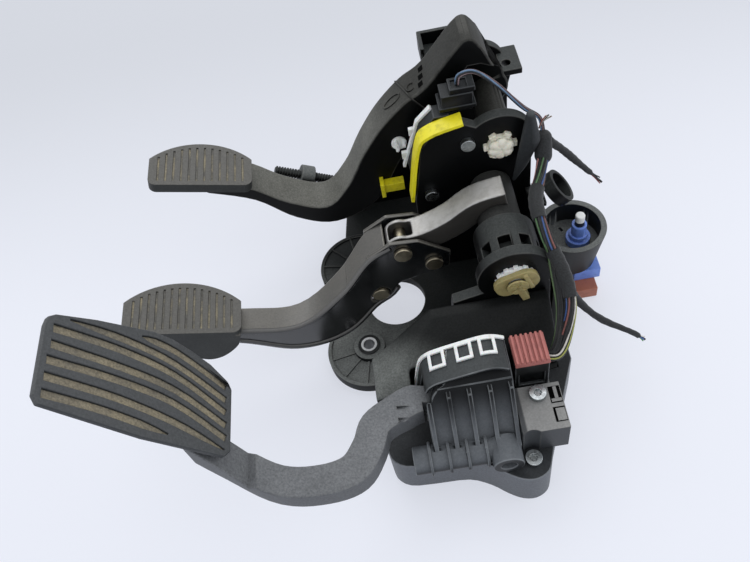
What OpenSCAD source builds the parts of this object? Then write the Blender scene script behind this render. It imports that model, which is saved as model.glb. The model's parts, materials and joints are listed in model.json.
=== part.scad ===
/* [Bulkhead flange] */
// Thickness of the flange that lies against the bulkhead
flange_t = 8; // [7:0.5:9]
// Distance between the studs across the pedals' travel
stud_dx = 52; // [50:1:54]
// Distance between the studs along the hinge axes
stud_dy = 80; // [78:1:82]
// Radius of the rounded lobe around each lower stud
lobe_r = 33; // [31:0.5:34]
// Radius of the hole for the brake push rod
rod_hole_r = 22.5; // [20:0.5:24]
// Bore radius of the steel bush that a stud passes through
bush_bore_r = 4.2; // [4.1:0.1:4.6]
// Outer radius of the steel bush
bush_r = 7; // [6.5:0.5:8]

/* [Pedal pivots] */
// Radius of the brake and clutch pivot pins
pin_r = 6; // [5.5:0.5:6.5]
// Running clearance between a pin and what turns on it
run_gap = 0.05; // [0.03:0.01:0.08]
// Height of the brake pivot above the bulkhead
brake_z = 96; // [95:0.5:97]
// Height of the clutch pivot above the bulkhead
clutch_z = 134; // [133:0.5:135]
// Height of the accelerator pivot above the bulkhead
accel_z = 57; // [56:0.5:58]

/* [Pedals] */
// How far the accelerator pad's centre reaches down from the push rod hole
accel_reach = 132; // [128:1:136]
// Length of the brake pad
brake_pad_l = 79; // [76:1:82]
// Width of the brake pad
brake_pad_w = 42; // [40:1:46]
// Length of the clutch pad
clutch_pad_l = 74; // [70:1:78]
// Width of the clutch pad
clutch_pad_w = 42; // [40:1:46]
// Length of the accelerator pad
accel_pad_l = 118; // [114:1:121]
// Width of the accelerator pad at its widest
accel_pad_w = 64; // [62:1:66]
// Thickness of the rubber on the brake and clutch pads
rubber_t = 8; // [7:0.5:9]
// Tilt of the brake pad from the bulkhead's plane, in degrees
brake_tilt = 16; // [14:1:18]
// Tilt of the clutch pad from the bulkhead's plane, in degrees
clutch_tilt = 15.5; // [14:0.5:17]
// Tilt of the accelerator pad from the bulkhead's plane, in degrees
accel_tilt = 58; // [56:1:60]

/* [Bracket walls] */
// Thickness of the moulded shell around the flank and the platform
shell_t = 4; // [3:0.5:5]
// Height of the platform that carries the accelerator module
platform_h = 36; // [35:0.5:36.5]

/* [Hidden] */
$fn = 48;
eps = 0.01;

// Rims and ribs on the flange's lobes
lobe_rim_h = 1.5;
lobe_rim_t = 3;
lobe_rib_t = 1.6;
lobe_rib_angles = [100, 135, 170];
stud_boss_h = 5;
stud_boss_r = 12;

// Stations along the hinge axes
near_cheek = [-58, -50];
near_boss_end = -20;
mid_wall = [27, 35];
far_cheek = [106, 113];
clutch_y = [57, 85];
back_wall = [108, 113];

// Outline of the platform and of its hollow
platform_front = [[-21, -132], [-19, -143], [-10, -150], [8, -151.5], [30, -152.5], [44, -158.5], [54, -166],
    [63, -171], [72, -172], [80, -168], [84, -160], [88, -149]];
platform_edge = concat([[-22, -70]], smooth(platform_front, 3), [[114, -92], [114, -70]]);
platform_inner = concat([[-22 + shell_t, -66]], shifted(smooth(platform_front, 3), shell_t),
    [[114 - shell_t, -91], [114 - shell_t, -66]]);

// Outline of the middle wall, as across and height
mid_outline = [[37, flange_t - 1], [37, 36], [28, 60], [28, 90], [36, 141], [44, 152], [66, 157], [78, 150],
    [112, 118], [112, flange_t - 1]];
wall_bolt_ps = [[68, 140], [40, 96]];
wall_bolt_r = 3;

// Pivots seen along the hinge axes, as across and height
brake_p = [82, brake_z];
clutch_p = [90, clutch_z];
accel_p = [36, accel_z];
accel_pin_r = 4;
accel_pin_y = [-137, -101];
press_gap = 0.03;

// Clevis of the brake pedal
clevis_y = [-13, 15];
plate_t = 3;
lever_y = [-8, 10];
eye_p = [12, 84];
eye_r = 11;
rivet_r = 4;
rivet_head_r = 6.5;
rivet_head_t = 3;
rivet_ps = [[33, 68], [-10, 41]];

// Hubs and bushes
hub_r = 15;
hub_bore_r = 8;
brake_hub_y = [-18, 25];
clutch_hub_r = 13;
clutch_hub_y = [39, 103.5];
bush_l = 14;
bush_flange_t = 1.3;
bush_flange_r = 11;

// Pads: centre of the tread face
brake_pad_c = [-143, -36, 97.5];
clutch_pad_c = [-123, 69.5, 126];
accel_pad_c = [-accel_reach, -140, 175];
pad_plate_t = 4;
accel_pad_t = 9;
accel_rim_t = 3.5;
accel_back_k = 0.88;
pad_bulge = 0.38;
pad_grip = 8;
plate_grip = 6;

// Apron of the brake pad's rubber beside the arm, as across and height
apron = [[-156, 96], [-152, 80], [-145, 66], [-137, 59], [-128, 59], [-119, 64], [-111, 72], [-107, 82]];
apron_y = [-56.8, -51.3];

// Outline and grooves of the accelerator pad at its drawn size
function sized(pts) = [for (p = pts) [p[0] * accel_pad_l / 118, p[1] * accel_pad_w / 64]];
accel_pad_edge = sized([[-58, -22], [-55, -26], [-30, -26.5], [2, -27], [55, -24], [59, -20], [60, 19],
    [57, 23.5], [44, 30.5], [30, 34.5], [17, 37], [4, 37], [-31, 30], [-53, 24], [-57, 21], [-58, 16]]);
accel_grooves = [
    [[-54, -20], [-20, -19], [17, -21]],
    [[-54, -11], [-16, -10], [20, -13], [55, -20]],
    [[-54, -2], [-16, 0], [20, -2], [56, -13]],
    [[-53, 7], [-16, 8], [20, 6], [56, -5]],
    [[-53, 16], [-16, 18], [20, 15], [56, 3]],
    [[-45, 24], [-10, 25], [20, 22], [56, 11]],
    [[-3, 31], [20, 30], [56, 19.5]]
];
// How full each groove is at its two ends: 1 is square, and less runs out to a point
accel_groove_ends = [[1, 0.15], [1, 0.15], [1, 1], [1, 1], [1, 1], [0.15, 1], [0.15, 1]];
groove_w = 4.6;
groove_deep = 1.6;

// Outline of the clutch arm, driver's side and bulkhead side
clutch_top = [[-128, 115], [-95, 106], [-69, 83], [-41, 69], [-21, 87], [-5, 115], [11, 138], [30, 157],
    [47, 168.5], [74, 199], [86, 191]];
clutch_low = [[-124, 107], [-92, 90], [-66, 62], [-36, 49], [0, 66], [30, 114], [62, 116],
    [103, 128], [104, 150]];
clutch_wall = 3;
pushrod_p = [23, 123];
pushrod_pin_r = 3;
hood_opening = [[36, 100], [42, 132], [60, 156], [76, 178], [84, 178], [120, 160], [120, 100]];

// Outline of the brake arm, driver's side and bulkhead side
brake_top = [[-152, 86], [-108, 77], [-68, 65], [-36, 74], [-16, 83], [4, 92]];
brake_low = [[-148, 77], [-110, 64], [-76, 40], [-42, 28], [-6, 32], [8, 50]];
brake_plan_near = [[-152, -50], [-100, -50], [-68, -46], [-36, -33], [-14, -16], [4, -13]];
brake_plan_far = [[-152, -30], [-100, -30], [-68, -26], [-36, -10], [-14, 11], [4, 15]];
clevis_plate = [[-14, 33], [8, 50], [44, 60], [46, 76], [24, 94], [4, 96], [-14, 84]];

// Run of the silver lever from the clevis pin to the hub
lever_path = [[12, 84], [30, 86], [50, 95], [68, 108], [88, 112]];
lever_h = 9.5;

// Run of the accelerator arm, from its hub to the back of the pad
accel_side = [[36, 57], [10, 65], [-8, 73], [-30, 77], [-50, 83], [-77, 91],
    [34 - accel_reach, 101], [14 - accel_reach, 123], [-2 - accel_reach, 149]];
accel_plan = [[48, -121], [10, -121], [-8, -129], [-22, -138], [-28, -152], [-38, -166], [-56, -172],
    [-80, -171], [26 - accel_reach, -158], [4 - accel_reach, -148]];
accel_arm_end = 8 - accel_reach;
accel_relief_y = -125;
accel_arm_w = 19;
accel_arm_t = 16;
accel_hub_r = 11;
accel_hub_y = [-129, -113];

// Accelerator module
module_x = [10, 66];
cavity_y = [-133, -101];
lid_t = 2.5;
lid_y = [-121.5, -98];
lid_leg_y = -108;
lid_leg_top = 77.5;
lid_line = [[5, 41], [7.5, 60], [11, 79], [16, 86.5], [24, 90], [36, 93.2], [50, 96.4], [58, 95.6],
    [65, 91.5]];
strip_windows = [21.5, 39, 54];
rib_xs = [12, 25, 38, 51, 64];
rib_t = 3;
cage_r = 9;
cage_p = [-151, 45];
boss_p = [55, 47];
sensor_x = [66, 96];
sensor_y = [-153, -121];
sensor_top = 64;
plug_x = [69, 91];
plug_y = [-117, -97];
plug_z = [50, 84];
screw_ps = [[72, -159, platform_h], [81, -128, sensor_top]];
screw_r = 2.5;
spring_r = 9;
spring_wire_r = 0.9;
spring_y = [-111, -102.4];
spring_turns = 4;
spigot_r = 7.7;

// Stop lamp switch
switch_p = [143, 2];
cup_c = [138, 3];
cup_top_r = 25;
cup_low_r = 19;
cup_z = [24, 60];
cup_floor = [38, 42];
switch_r = 7;
plunger_r = 3.5;
plunger_travel = 8;

// Stop stud on the far cheek: its root, its lean, its length and where the disc sits on it
stop_root = [-27, 96, 52];
stop_lean = 62;
stop_stud_l = 58;
stop_disc_z = [26, 37];
stud_thread_r = 4;

// Lugs that the dash beam's screws pass through
lug_z = [139, 144];
lug_hole_r = 3.25;
right_lug = [109, 95];
left_lug = [62, 126];
right_lug_x = [103.6, 119];
left_lug_x = [50, 74];
left_lug_y = 135;
lug_rim_z = 155;
lug_rim_t = 3;

// Routes of the wiring, as points along its centre line
guide_c = [128, 14, 92];
loom_r = 4.5;
wires_r = 2.6;
loom_joint_a = [119, 24, 134];
loom_joint_b = [118, 18, 124];
loom_upper = [[66, 44, 177], [68, 44, 184], [78, 43, 185], [92, 41, 172], [108, 37, 153], [118, 31, 146],
    loom_joint_a];
loom_lower = [loom_joint_b, [112, 2, 122], [104, -20, 122], [105, -45, 116], [111, -66, 104], [112, -84, 92],
    [106, -98, 80], [99, -107, 74], [90.5, -107, 74]];
tail_r = 3.5;
upper_tail = [[124, 26, 128], [134, 27, 116], [148, 26, 98], [164, 24, 78]];
lower_tail = [[111, -66, 101], [120, -69, 76], [136, -76, 56], [158, -82, 40], [168, -84, 30]];

// Smooth curve through a list of points, with steps per stretch
function spline_at(a, b, c, d, t) =
    0.5 * (2 * b + (c - a) * t + (2 * a - 5 * b + 4 * c - d) * t * t + (3 * b - a - 3 * c + d) * t * t * t);
function smooth(pts, steps = 5) = let (n = len(pts) - 1) concat(
    [for (i = [0:n - 1], k = [0:steps - 1])
        spline_at(pts[max(i - 1, 0)], pts[i], pts[i + 1], pts[min(i + 2, n)], k / steps)],
    [pts[n]]);
function after_first(v) = [for (i = [1:len(v) - 1]) v[i]];
function reversed(v) = [for (i = [len(v) - 1:-1:0]) v[i]];

// Unit normal on the left of a flat path at point i
function heading(p, i) = let (a = p[max(i - 1, 0)], b = p[min(i + 1, len(p) - 1)]) (b - a) / norm(b - a);
function left_of(p, i) = let (h = heading(p, i)) [-h[1], h[0]];
function shifted(p, d) = [for (i = [0:len(p) - 1]) p[i] + d * left_of(p, i)];
// Half width at point i of a band of width w that thins towards its ends
function thinned(p, i, w, ends) = let (n = len(p) - 1)
    w / 2 * min(1, ends[0] + 4 * i / n, ends[1] + 4 * (n - i) / n);
function pointed(p, w, ends) = concat(
    [for (i = [0:len(p) - 1]) p[i] + thinned(p, i, w, ends) * left_of(p, i)],
    [for (i = [len(p) - 1:-1:0]) p[i] - thinned(p, i, w, ends) * left_of(p, i)]);
function strip(p, w) = concat(shifted(p, w / 2), reversed(shifted(p, -w / 2)));
function ring_between(a, b) = concat(a, reversed(b));

// Rings of a round tube along a route in space
function tube_ring(p, i, r, sides) =
    let (h = heading(p, i), flat = abs(h[2]) > 0.9 ? [1, 0, 0] : [0, 0, 1],
         u = cross(h, flat) / norm(cross(h, flat)), v = cross(h, u))
    [for (k = [0:sides - 1]) p[i] + r * (cos(360 * k / sides) * u + sin(360 * k / sides) * v)];

module tube(route, r, sides = 10, steps = 4) {
    path = smooth(route, steps);
    n = len(path);
    points = [for (i = [0:n - 1]) each tube_ring(path, i, r, sides)];
    skin = [for (i = [0:n - 2], k = [0:sides - 1])
        [i * sides + k, i * sides + (k + 1) % sides, (i + 1) * sides + (k + 1) % sides, (i + 1) * sides + k]];
    ends = [[for (k = [sides - 1:-1:0]) k], [for (k = [0:sides - 1]) (n - 1) * sides + k]];
    polyhedron(points, concat(skin, ends));
}

// Slab between two stations, from a shape drawn as across and height
module yslab(y) {
    translate([0, y[1], 0]) rotate([90, 0, 0]) linear_extrude(y[1] - y[0]) children();
}

// Slab between two places across, from a shape drawn as station and height
module xslab(x) {
    translate([x[0], 0, 0]) rotate([90, 0, 90]) linear_extrude(x[1] - x[0]) children();
}

// Round bar along the hinge axes
module ybar(p, r, y) {
    translate([p[0], y[1], p[1]]) rotate([90, 0, 0]) cylinder(h = y[1] - y[0], r = r);
}

// Upright round bar
module zbar(p, r, z) {
    translate([p[0], p[1], z[0]]) cylinder(h = z[1] - z[0], r = r);
}

// Box between limits
module box(x, y, z) {
    translate([x[0], y[0], z[0]]) cube([x[1] - x[0], y[1] - y[0], z[1] - z[0]]);
}

// Rectangle with round corners, centred
module round_rect(l, w, r) {
    square([l, w - 2 * r], center = true);
    square([l - 2 * r, w], center = true);
    for (sx = [-1, 1], sy = [-1, 1]) translate([sx * (l / 2 - r), sy * (w / 2 - r)]) circle(r);
}

// Frame of a pad: across the pad, along the hinge axis and out of the tread
module on_pad(c, tilt) {
    translate(c) rotate([0, tilt, 0]) children();
}

// Frame of the stop stud: its height runs along the stud
module at_stud_root() {
    translate(stop_root) rotate([0, -stop_lean, 0]) children();
}

// Places of the four bulkhead studs
module at_studs() {
    for (sx = [-1, 1], sy = [-1, 1]) translate([sx * stud_dx / 2, sy * stud_dy / 2, 0]) children();
}

// Outline of the bulkhead flange seen from the driver
module flange_outline() {
    for (s = [-1, 1]) translate([-stud_dx / 2, s * stud_dy / 2]) circle(lobe_r);
    polygon([[-50, -30], [-18, -82], [110, -82], [113, 20], [113, 113], [-30, 113], [-36, 68], [-50, 30]]);
}

module flange() {
    linear_extrude(flange_t) difference() {
        flange_outline();
        circle(rod_hole_r);
    }
    at_studs() cylinder(h = flange_t + stud_boss_h, r = stud_boss_r);
    // Low rim on each lobe, and thin ribs that run out to it
    for (s = [-1, 1]) translate([-stud_dx / 2, s * stud_dy / 2, flange_t - eps]) {
        difference() {
            cylinder(h = lobe_rim_h, r = lobe_r);
            translate([0, 0, -1]) cylinder(h = 5, r = lobe_r - lobe_rim_t);
            translate([0, -s * 60 - 50, -1]) cube([100, 100, 5]);
            translate([14, -50, -1]) cube([100, 100, 5]);
            translate([-50, s > 0 ? -50 : 12, -1]) cube([100, 38, 5]);
        }
        for (a = lobe_rib_angles) rotate(s * a) translate([0, -lobe_rib_t / 2, 0])
            cube([lobe_r - 1, lobe_rib_t, lobe_rim_h]);
    }
}

// Platform under the accelerator module
module platform() {
    linear_extrude(platform_h) polygon(platform_edge);
}

// Sloping flank between the platform and the near cheek
module flank_shape(inset) {
    hull() {
        box([-22 + inset, 20 - inset], [-110 + inset, -78], [0, 58 - inset]);
        box([24, 104 - inset], [-66, -57 - inset], [0, 77 - inset]);
        box([0 + inset, 104 - inset], [-97 + inset, -90], [0, 50 - inset]);
    }
}

module flank() {
    difference() {
        flank_shape(0);
        // Room for the accelerator module
        box([module_x[0] - 7.5, 120], [-130, -94], [platform_h - eps, 120]);
    }
}

// Hollow of the platform and the flank, open towards the bulkhead
module shell_hollow() {
    translate([0, 0, -eps]) linear_extrude(platform_h - shell_t + eps) polygon(platform_inner);
    intersection() {
        translate([0, 0, -eps]) flank_shape(shell_t);
        box([-50, 150], [-90, -50], [-1, 100]);
    }
}

module near_cheek_wall() {
    yslab(near_cheek) {
        polygon([[34, flange_t - 1], [40, 78], [62, 84], [70, 112], [96, 112], [106, 84],
                 [108, flange_t - 1]]);
        translate(brake_p) circle(25);
    }
    // Ribbed tube that reaches inward to the hub
    difference() {
        ybar(brake_p, 21, [near_cheek[0] + 1, near_boss_end]);
        for (a = [20:40:180]) translate([brake_p[0], 0, brake_p[1]]) rotate([0, -a, 0])
            box([13, 30], [near_cheek[1] + 2, near_cheek[1] + 12], [-4, 4]);
    }
}

module middle_wall() {
    yslab(mid_wall) {
        polygon(mid_outline);
        translate(clutch_p) circle(24);
    }
    // Hollow boss on the clutch side
    ybar(clutch_p, 16, [mid_wall[1] - eps, mid_wall[1] + 2]);
}

module far_wall() {
    yslab(far_cheek) {
        polygon([[-30, flange_t - 1], [-34, 46], [-12, 60], [42, 118], [50, lug_z[1]],
                 [119, lug_z[1]], [119, lug_z[0]], [112, 110], [112, flange_t - 1]]);
        translate(clutch_p) circle(21);
    }
    // Horn that holds the stop stud
    at_stud_root() box([-10, 10], [-7, far_cheek[0] - stop_root[1] + eps], [-10, 0]);
}

module lugs() {
    rim_z = [lug_z[1] - eps, lug_rim_z];
    box(right_lug_x, [86, far_cheek[0] + eps], lug_z);
    box(left_lug_x, [far_cheek[1] - eps, left_lug_y], lug_z);
    box([left_lug_x[0], left_lug_x[0] + lug_rim_t], [far_cheek[1] - eps, left_lug_y], rim_z);
    box([left_lug_x[1] - lug_rim_t, left_lug_x[1]], [far_cheek[1] - eps, left_lug_y], rim_z);
    box(left_lug_x, [left_lug_y - lug_rim_t, left_lug_y], rim_z);
}

module rear_wall() {
    difference() {
        box(back_wall, [near_cheek[0], far_cheek[1]], [flange_t - 1, 84]);
        for (y = [[-46, -14], [42, 98]]) box([100, 120], y, [24, 70]);
    }
}

// The bracket is one moulding. Its walls are drawn apart, each up to the one that it grows from, so that the
// spaces between them stay open.
module bracket_colour() {
    color([0.13, 0.13, 0.13]) children();
}

// Holes through the moulding
module bracket_holes() {
    zbar([0, 0], rod_hole_r, [-1, 60]);
    at_studs() translate([0, 0, -1]) cylinder(h = 40, r = bush_r + press_gap);
    // Bores for the pivot pins
    ybar(brake_p, pin_r + press_gap, [-80, mid_wall[1] + 1]);
    ybar(clutch_p, pin_r + press_gap, [mid_wall[0] - 1, far_cheek[1] + 1]);
    for (p = [right_lug, left_lug]) zbar(p, lug_hole_r, [130, 160]);
    // Bores for the stop stud, the wall bolts and the accelerator's screws
    at_stud_root() translate([0, 0, -8]) cylinder(h = 10, r = stud_thread_r - 1 + press_gap);
    for (p = wall_bolt_ps) ybar(p, wall_bolt_r + press_gap, [mid_wall[0] - 1, mid_wall[1] + 1]);
    for (p = screw_ps) zbar(p, screw_r + press_gap, [platform_h - 20, platform_h + 1]);
}

// Flange that lies against the bulkhead
module bracket() {
    bracket_colour() difference() {
        flange();
        platform();
        flank_shape(0);
        shell_hollow();
        bracket_holes();
    }
}

// Corner of the platform that grows from the flank's outer face
module platform_corner() {
    intersection() {
        platform();
        box([-30, 0], [-78, -60], [-1, platform_h + 1]);
    }
}

module bracket_flank() {
    bracket_colour() difference() {
        union() {
            flank();
            platform_corner();
        }
        box([-50, 150], [near_cheek[0], 0], [flange_t, 120]);
        shell_hollow();
        bracket_holes();
    }
}

module bracket_platform() {
    bracket_colour() difference() {
        platform();
        platform_corner();
        flank_shape(0);
        shell_hollow();
        bracket_holes();
    }
}

// Upright walls, from the flange up
module above_flange() {
    bracket_colour() difference() {
        children();
        box([-200, 200], [-200, 200], [-1, flange_t]);
        bracket_holes();
    }
}

module bracket_near_wall() {
    above_flange() near_cheek_wall();
}

module bracket_middle_wall() {
    above_flange() middle_wall();
}

module bracket_far_wall() {
    above_flange() {
        far_wall();
        lugs();
    }
}

module bracket_rear_wall() {
    above_flange() difference() {
        rear_wall();
        near_cheek_wall();
        middle_wall();
        far_wall();
    }
}

// Steel limiters that the bulkhead studs pass through
module bulkhead_bushes() {
    color("silver") at_studs() difference() {
        union() {
            cylinder(h = flange_t + stud_boss_h + 1, r = bush_r);
            translate([0, 0, flange_t + stud_boss_h]) cylinder(h = 1.5, r = bush_r + 1.5);
        }
        translate([0, 0, -1]) cylinder(h = flange_t + 12, r = bush_bore_r);
    }
}

// Tapered cup that carries the stop lamp switch
module switch_cup() {
    h = cup_z[1] - cup_z[0];
    color([0.14, 0.14, 0.14]) difference() {
        union() {
            translate([cup_c[0], cup_c[1], cup_z[0]]) cylinder(h = h, r1 = cup_low_r, r2 = cup_top_r);
            box([back_wall[1], cup_c[0] - 8], [cup_c[1] - 16, cup_c[1] + 16], [cup_z[0] + 4, cup_z[1]]);
        }
        translate([cup_c[0], cup_c[1], cup_floor[1]]) cylinder(h = h, r = cup_top_r - 4.5);
        zbar(cup_c, cup_low_r - 3, [cup_z[0] - 1, cup_floor[0]]);
        zbar(switch_p, switch_r + press_gap, [cup_z[0], cup_z[1]]);
        for (a = [110, 200, 250]) translate([cup_c[0], cup_c[1], 0]) rotate(a)
            box([11, 15], [-1, 1], [cup_floor[0] - 1, cup_floor[1] + 1]);
    }
}

// Moulded ring and spigot that guide the wiring
module cable_guide() {
    color([0.15, 0.15, 0.15]) {
        difference() {
            translate(guide_c) rotate([0, 50, 0]) cylinder(h = 9, r = 13, center = true);
            translate(guide_c) rotate([0, 50, 0]) cylinder(h = 20, r = 10, center = true);
        }
        difference() {
            box([back_wall[0], 119], [6, 20], [84, 88]);
            zbar([115, 9], 2, [80, 90]);
        }
        // Arm that carries the ring
        box([110, 118], [11, 17], [88 - eps, 99]);
    }
}

// Screws through the middle wall
module wall_bolts() {
    color("silver") for (p = wall_bolt_ps) {
        ybar(p, wall_bolt_r, [mid_wall[0] - 1, mid_wall[1]]);
        ybar(p, wall_bolt_r + 2, [mid_wall[0] - 4, mid_wall[0]]);
    }
}

module brake_pivot_pin() {
    color("silver") ybar(brake_p, pin_r, [near_cheek[0] - 6, mid_wall[1]]);
}

// Toothed ring behind the brake pivot's clip
module brake_pivot_washer() {
    color("white") difference() {
        union() {
            ybar(brake_p, 12, [near_cheek[0] - 2.5, near_cheek[0]]);
            for (a = [0:30:330]) translate([brake_p[0], 0, brake_p[1]]) rotate([0, a, 0])
                box([10, 13.5], [near_cheek[0] - 2.5, near_cheek[0]], [-1.5, 1.5]);
        }
        ybar(brake_p, pin_r + press_gap, [-80, 0]);
    }
}

// Cream clip with a cross tab that keeps the brake pivot pin in
module brake_pivot_clip() {
    y = [near_cheek[0] - 6, near_cheek[0] - 2.5];
    color([0.8, 0.75, 0.5]) difference() {
        union() {
            yslab(y) translate(brake_p) rotate(20) round_rect(30, 19, 8);
            yslab([y[0] - 2, y[1]]) translate(brake_p) rotate(20) {
                translate([8, 0]) square([3, 15], center = true);
                translate([0, -13]) square([5, 10], center = true);
            }
        }
        ybar(brake_p, pin_r + press_gap, [-80, y[1] + 1]);
    }
}

module clutch_pivot_pin() {
    color("silver") ybar(clutch_p, pin_r, [mid_wall[0] - 5, far_cheek[1]]);
}

// Pale star clip that keeps the clutch pivot pin in
module clutch_pivot_clip() {
    y = [mid_wall[0] - 4, mid_wall[0]];
    color([0.9, 0.88, 0.8]) difference() {
        union() {
            ybar(clutch_p, 9, y);
            for (a = [0:60:300]) translate([clutch_p[0], 0, clutch_p[1]]) rotate([0, a, 0])
                box([6, 11.5], [y[0] + 0.5, y[1]], [-2.5, 2.5]);
        }
        ybar(clutch_p, pin_r + press_gap, [0, 60]);
    }
}

// Flanged plain bush, with its flange at the end that dir points to
module plain_bush(p, y_end, dir) {
    body = dir > 0 ? [y_end - bush_l, y_end] : [y_end, y_end + bush_l];
    flange = dir > 0 ? [y_end, y_end + bush_flange_t] : [y_end - bush_flange_t, y_end];
    difference() {
        union() {
            ybar(p, hub_bore_r - press_gap, body);
            ybar(p, bush_flange_r, flange);
        }
        ybar(p, pin_r + run_gap, [body[0] - 5, body[1] + 5]);
    }
}

// Solid between the driver's side and the bulkhead side of an arm
module arm_side(top, low, y) {
    yslab(y) polygon(ring_between(smooth(top), smooth(low)));
}

// Room inside a channel arm, open towards the bulkhead
module arm_room(top, low, t, y) {
    deeper = [for (i = [0:len(low) - 1]) low[i] + 0.3 * (low[i] - top[i])];
    yslab(y) polygon(ring_between(shifted(smooth(top), -t), smooth(deeper)));
}

// Plate behind a rubber tread
module pad_plate(l, w) {
    translate([0, -pad_bulge * w / 2, -rubber_t - pad_plate_t]) linear_extrude(pad_plate_t)
        round_rect(l - pad_grip, w * (1 - pad_bulge) - 2 * plate_grip, 6);
}

// Pressed channel arm of the brake pedal, with the plate behind its pad
module brake_arm() {
    plan = ring_between(smooth(brake_plan_near), smooth(brake_plan_far));
    room = ring_between(shifted(smooth(brake_plan_near), plate_t), shifted(smooth(brake_plan_far), -plate_t));
    color([0.2, 0.19, 0.18]) difference() {
        union() {
            intersection() {
                arm_side(brake_top, brake_low, [-60, 30]);
                linear_extrude(200) polygon(plan);
            }
            for (y = [[clevis_y[0], clevis_y[0] + plate_t], [clevis_y[1] - plate_t, clevis_y[1]]])
                yslab(y) polygon(clevis_plate);
            on_pad(brake_pad_c, brake_tilt) pad_plate(brake_pad_l, brake_pad_w);
        }
        intersection() {
            arm_room(after_first(brake_top), after_first(brake_low), plate_t, [-60, 30]);
            linear_extrude(200) polygon(room);
        }
        // Open clevis around the lever
        box([eye_p[0] - eye_r - 0.5, 60], [clevis_y[0] + plate_t, clevis_y[1] - plate_t], [20, 120]);
        on_pad(brake_pad_c, brake_tilt) translate([-60, -60, -rubber_t]) cube([102, 120, 40]);
        ybar(eye_p, rivet_r + press_gap, [-40, 40]);
        for (p = rivet_ps) {
            ybar(p, rivet_r + press_gap, [-40, 40]);
            // Flats that the rivet heads sit on
            ybar(p, rivet_head_r + 0.5, [-40, clevis_y[0]]);
            ybar(p, rivet_head_r + 0.5, [clevis_y[1], 40]);
        }
    }
}

// How far a bulged edge of radius r has dropped at place x
function bulge_line(x, r) = sqrt(r * r - x * x) - r;

// Rubber tread with cross grooves and a bulged far edge
module tread(c, tilt, l, w, count) {
    pitch = (l - pad_grip) / count;
    bulge = w * pad_bulge;
    bulge_r = (l * l / 4 + bulge * bulge) / (2 * bulge);
    on_pad(c, tilt) difference() {
        translate([0, 0, -rubber_t]) linear_extrude(rubber_t) {
            translate([0, -bulge / 2]) round_rect(l, w - bulge, 6);
            intersection() {
                translate([0, w / 2 - bulge_r]) circle(bulge_r, $fn = 160);
                translate([-l / 2, 0]) square([l, w / 2]);
            }
        }
        for (i = [0:count - 1]) let (x = -l / 2 + pad_grip / 2 + pitch * (i + 0.5))
            translate([x - 0.7, -w / 2 + 4, -1]) cube([1.4, bulge_line(x, bulge_r) + w - 8, 2]);
    }
}

// Brake tread with the rubber apron that hangs beside the arm
module brake_pad() {
    color([0.25, 0.25, 0.23]) {
        tread(brake_pad_c, brake_tilt, brake_pad_l, brake_pad_w, 14);
        yslab(apron_y) polygon(smooth(apron, 4));
    }
}

// Bent steel lever from the clevis pin to the hub, with an open eye
module brake_lever() {
    path = smooth(lever_path);
    hollow_y = [lever_y[0] + 3, lever_y[1] - 3];
    color([0.6, 0.6, 0.58]) difference() {
        union() {
            yslab(lever_y) polygon(strip(path, 2 * lever_h));
            ybar(eye_p, eye_r, lever_y);
        }
        // Folded from sheet: hollow below, and open above the pin
        yslab(hollow_y) polygon(ring_between(shifted(path, lever_h - 3), shifted(path, -30)));
        box([eye_p[0] - 8, eye_p[0] + 9], hollow_y, [60, 120]);
        ybar(eye_p, rivet_r + press_gap, [-40, 40]);
        ybar(brake_p, hub_r + press_gap, [-40, 40]);
    }
}

// Headed pin through the clevis
module clevis_pin(p) {
    ybar(p, rivet_r, clevis_y);
    ybar(p, rivet_head_r, [clevis_y[0] - rivet_head_t, clevis_y[0]]);
    ybar(p, rivet_head_r, [clevis_y[1], clevis_y[1] + rivet_head_t]);
}

module brake_lever_pin() {
    color([0.6, 0.56, 0.48]) clevis_pin(eye_p);
}

module brake_rivets() {
    color([0.55, 0.5, 0.4]) for (p = rivet_ps) clevis_pin(p);
}

module brake_hub() {
    color([0.3, 0.3, 0.29]) difference() {
        ybar(brake_p, hub_r, brake_hub_y);
        ybar(brake_p, hub_bore_r, [-60, 60]);
    }
}

module brake_bushes() {
    color([0.75, 0.72, 0.62]) {
        plain_bush(brake_p, brake_hub_y[0], -1);
        plain_bush(brake_p, brake_hub_y[1], 1);
    }
}

// Moulded channel arm of the clutch pedal, with its hub and pad plate
module clutch_arm() {
    inner = [clutch_y[0] + clutch_wall, clutch_y[1] - clutch_wall];
    color([0.22, 0.21, 0.2]) difference() {
        union() {
            difference() {
                arm_side(clutch_top, clutch_low, clutch_y);
                arm_room(after_first(clutch_top), after_first(clutch_low), clutch_wall, inner);
                yslab([clutch_y[0] - 1, inner[0] + eps]) polygon(hood_opening);
            }
            ybar(clutch_p, hub_bore_r + 3, clutch_hub_y);
            ybar(clutch_p, 18, [inner[1], clutch_y[1]]);
            on_pad(clutch_pad_c, clutch_tilt) pad_plate(clutch_pad_l, clutch_pad_w);
        }
        ybar(clutch_p, hub_bore_r, [0, 130]);
        on_pad(clutch_pad_c, clutch_tilt) translate([-60, -60, -rubber_t]) cube([90, 120, 40]);
        ybar(pushrod_p, pushrod_pin_r + press_gap, [40, inner[0] + 1]);
    }
}

module clutch_pad() {
    color([0.25, 0.25, 0.23]) tread(clutch_pad_c, clutch_tilt, clutch_pad_l, clutch_pad_w, 12);
}

// Grey sleeve on the clutch hub, beside the arm
module clutch_hub_sleeve() {
    color([0.45, 0.43, 0.4]) difference() {
        ybar(clutch_p, clutch_hub_r, [clutch_y[1], clutch_hub_y[1]]);
        ybar(clutch_p, hub_bore_r + 3 + press_gap, [clutch_y[1] - 1, clutch_hub_y[1] + 1]);
    }
}

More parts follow.
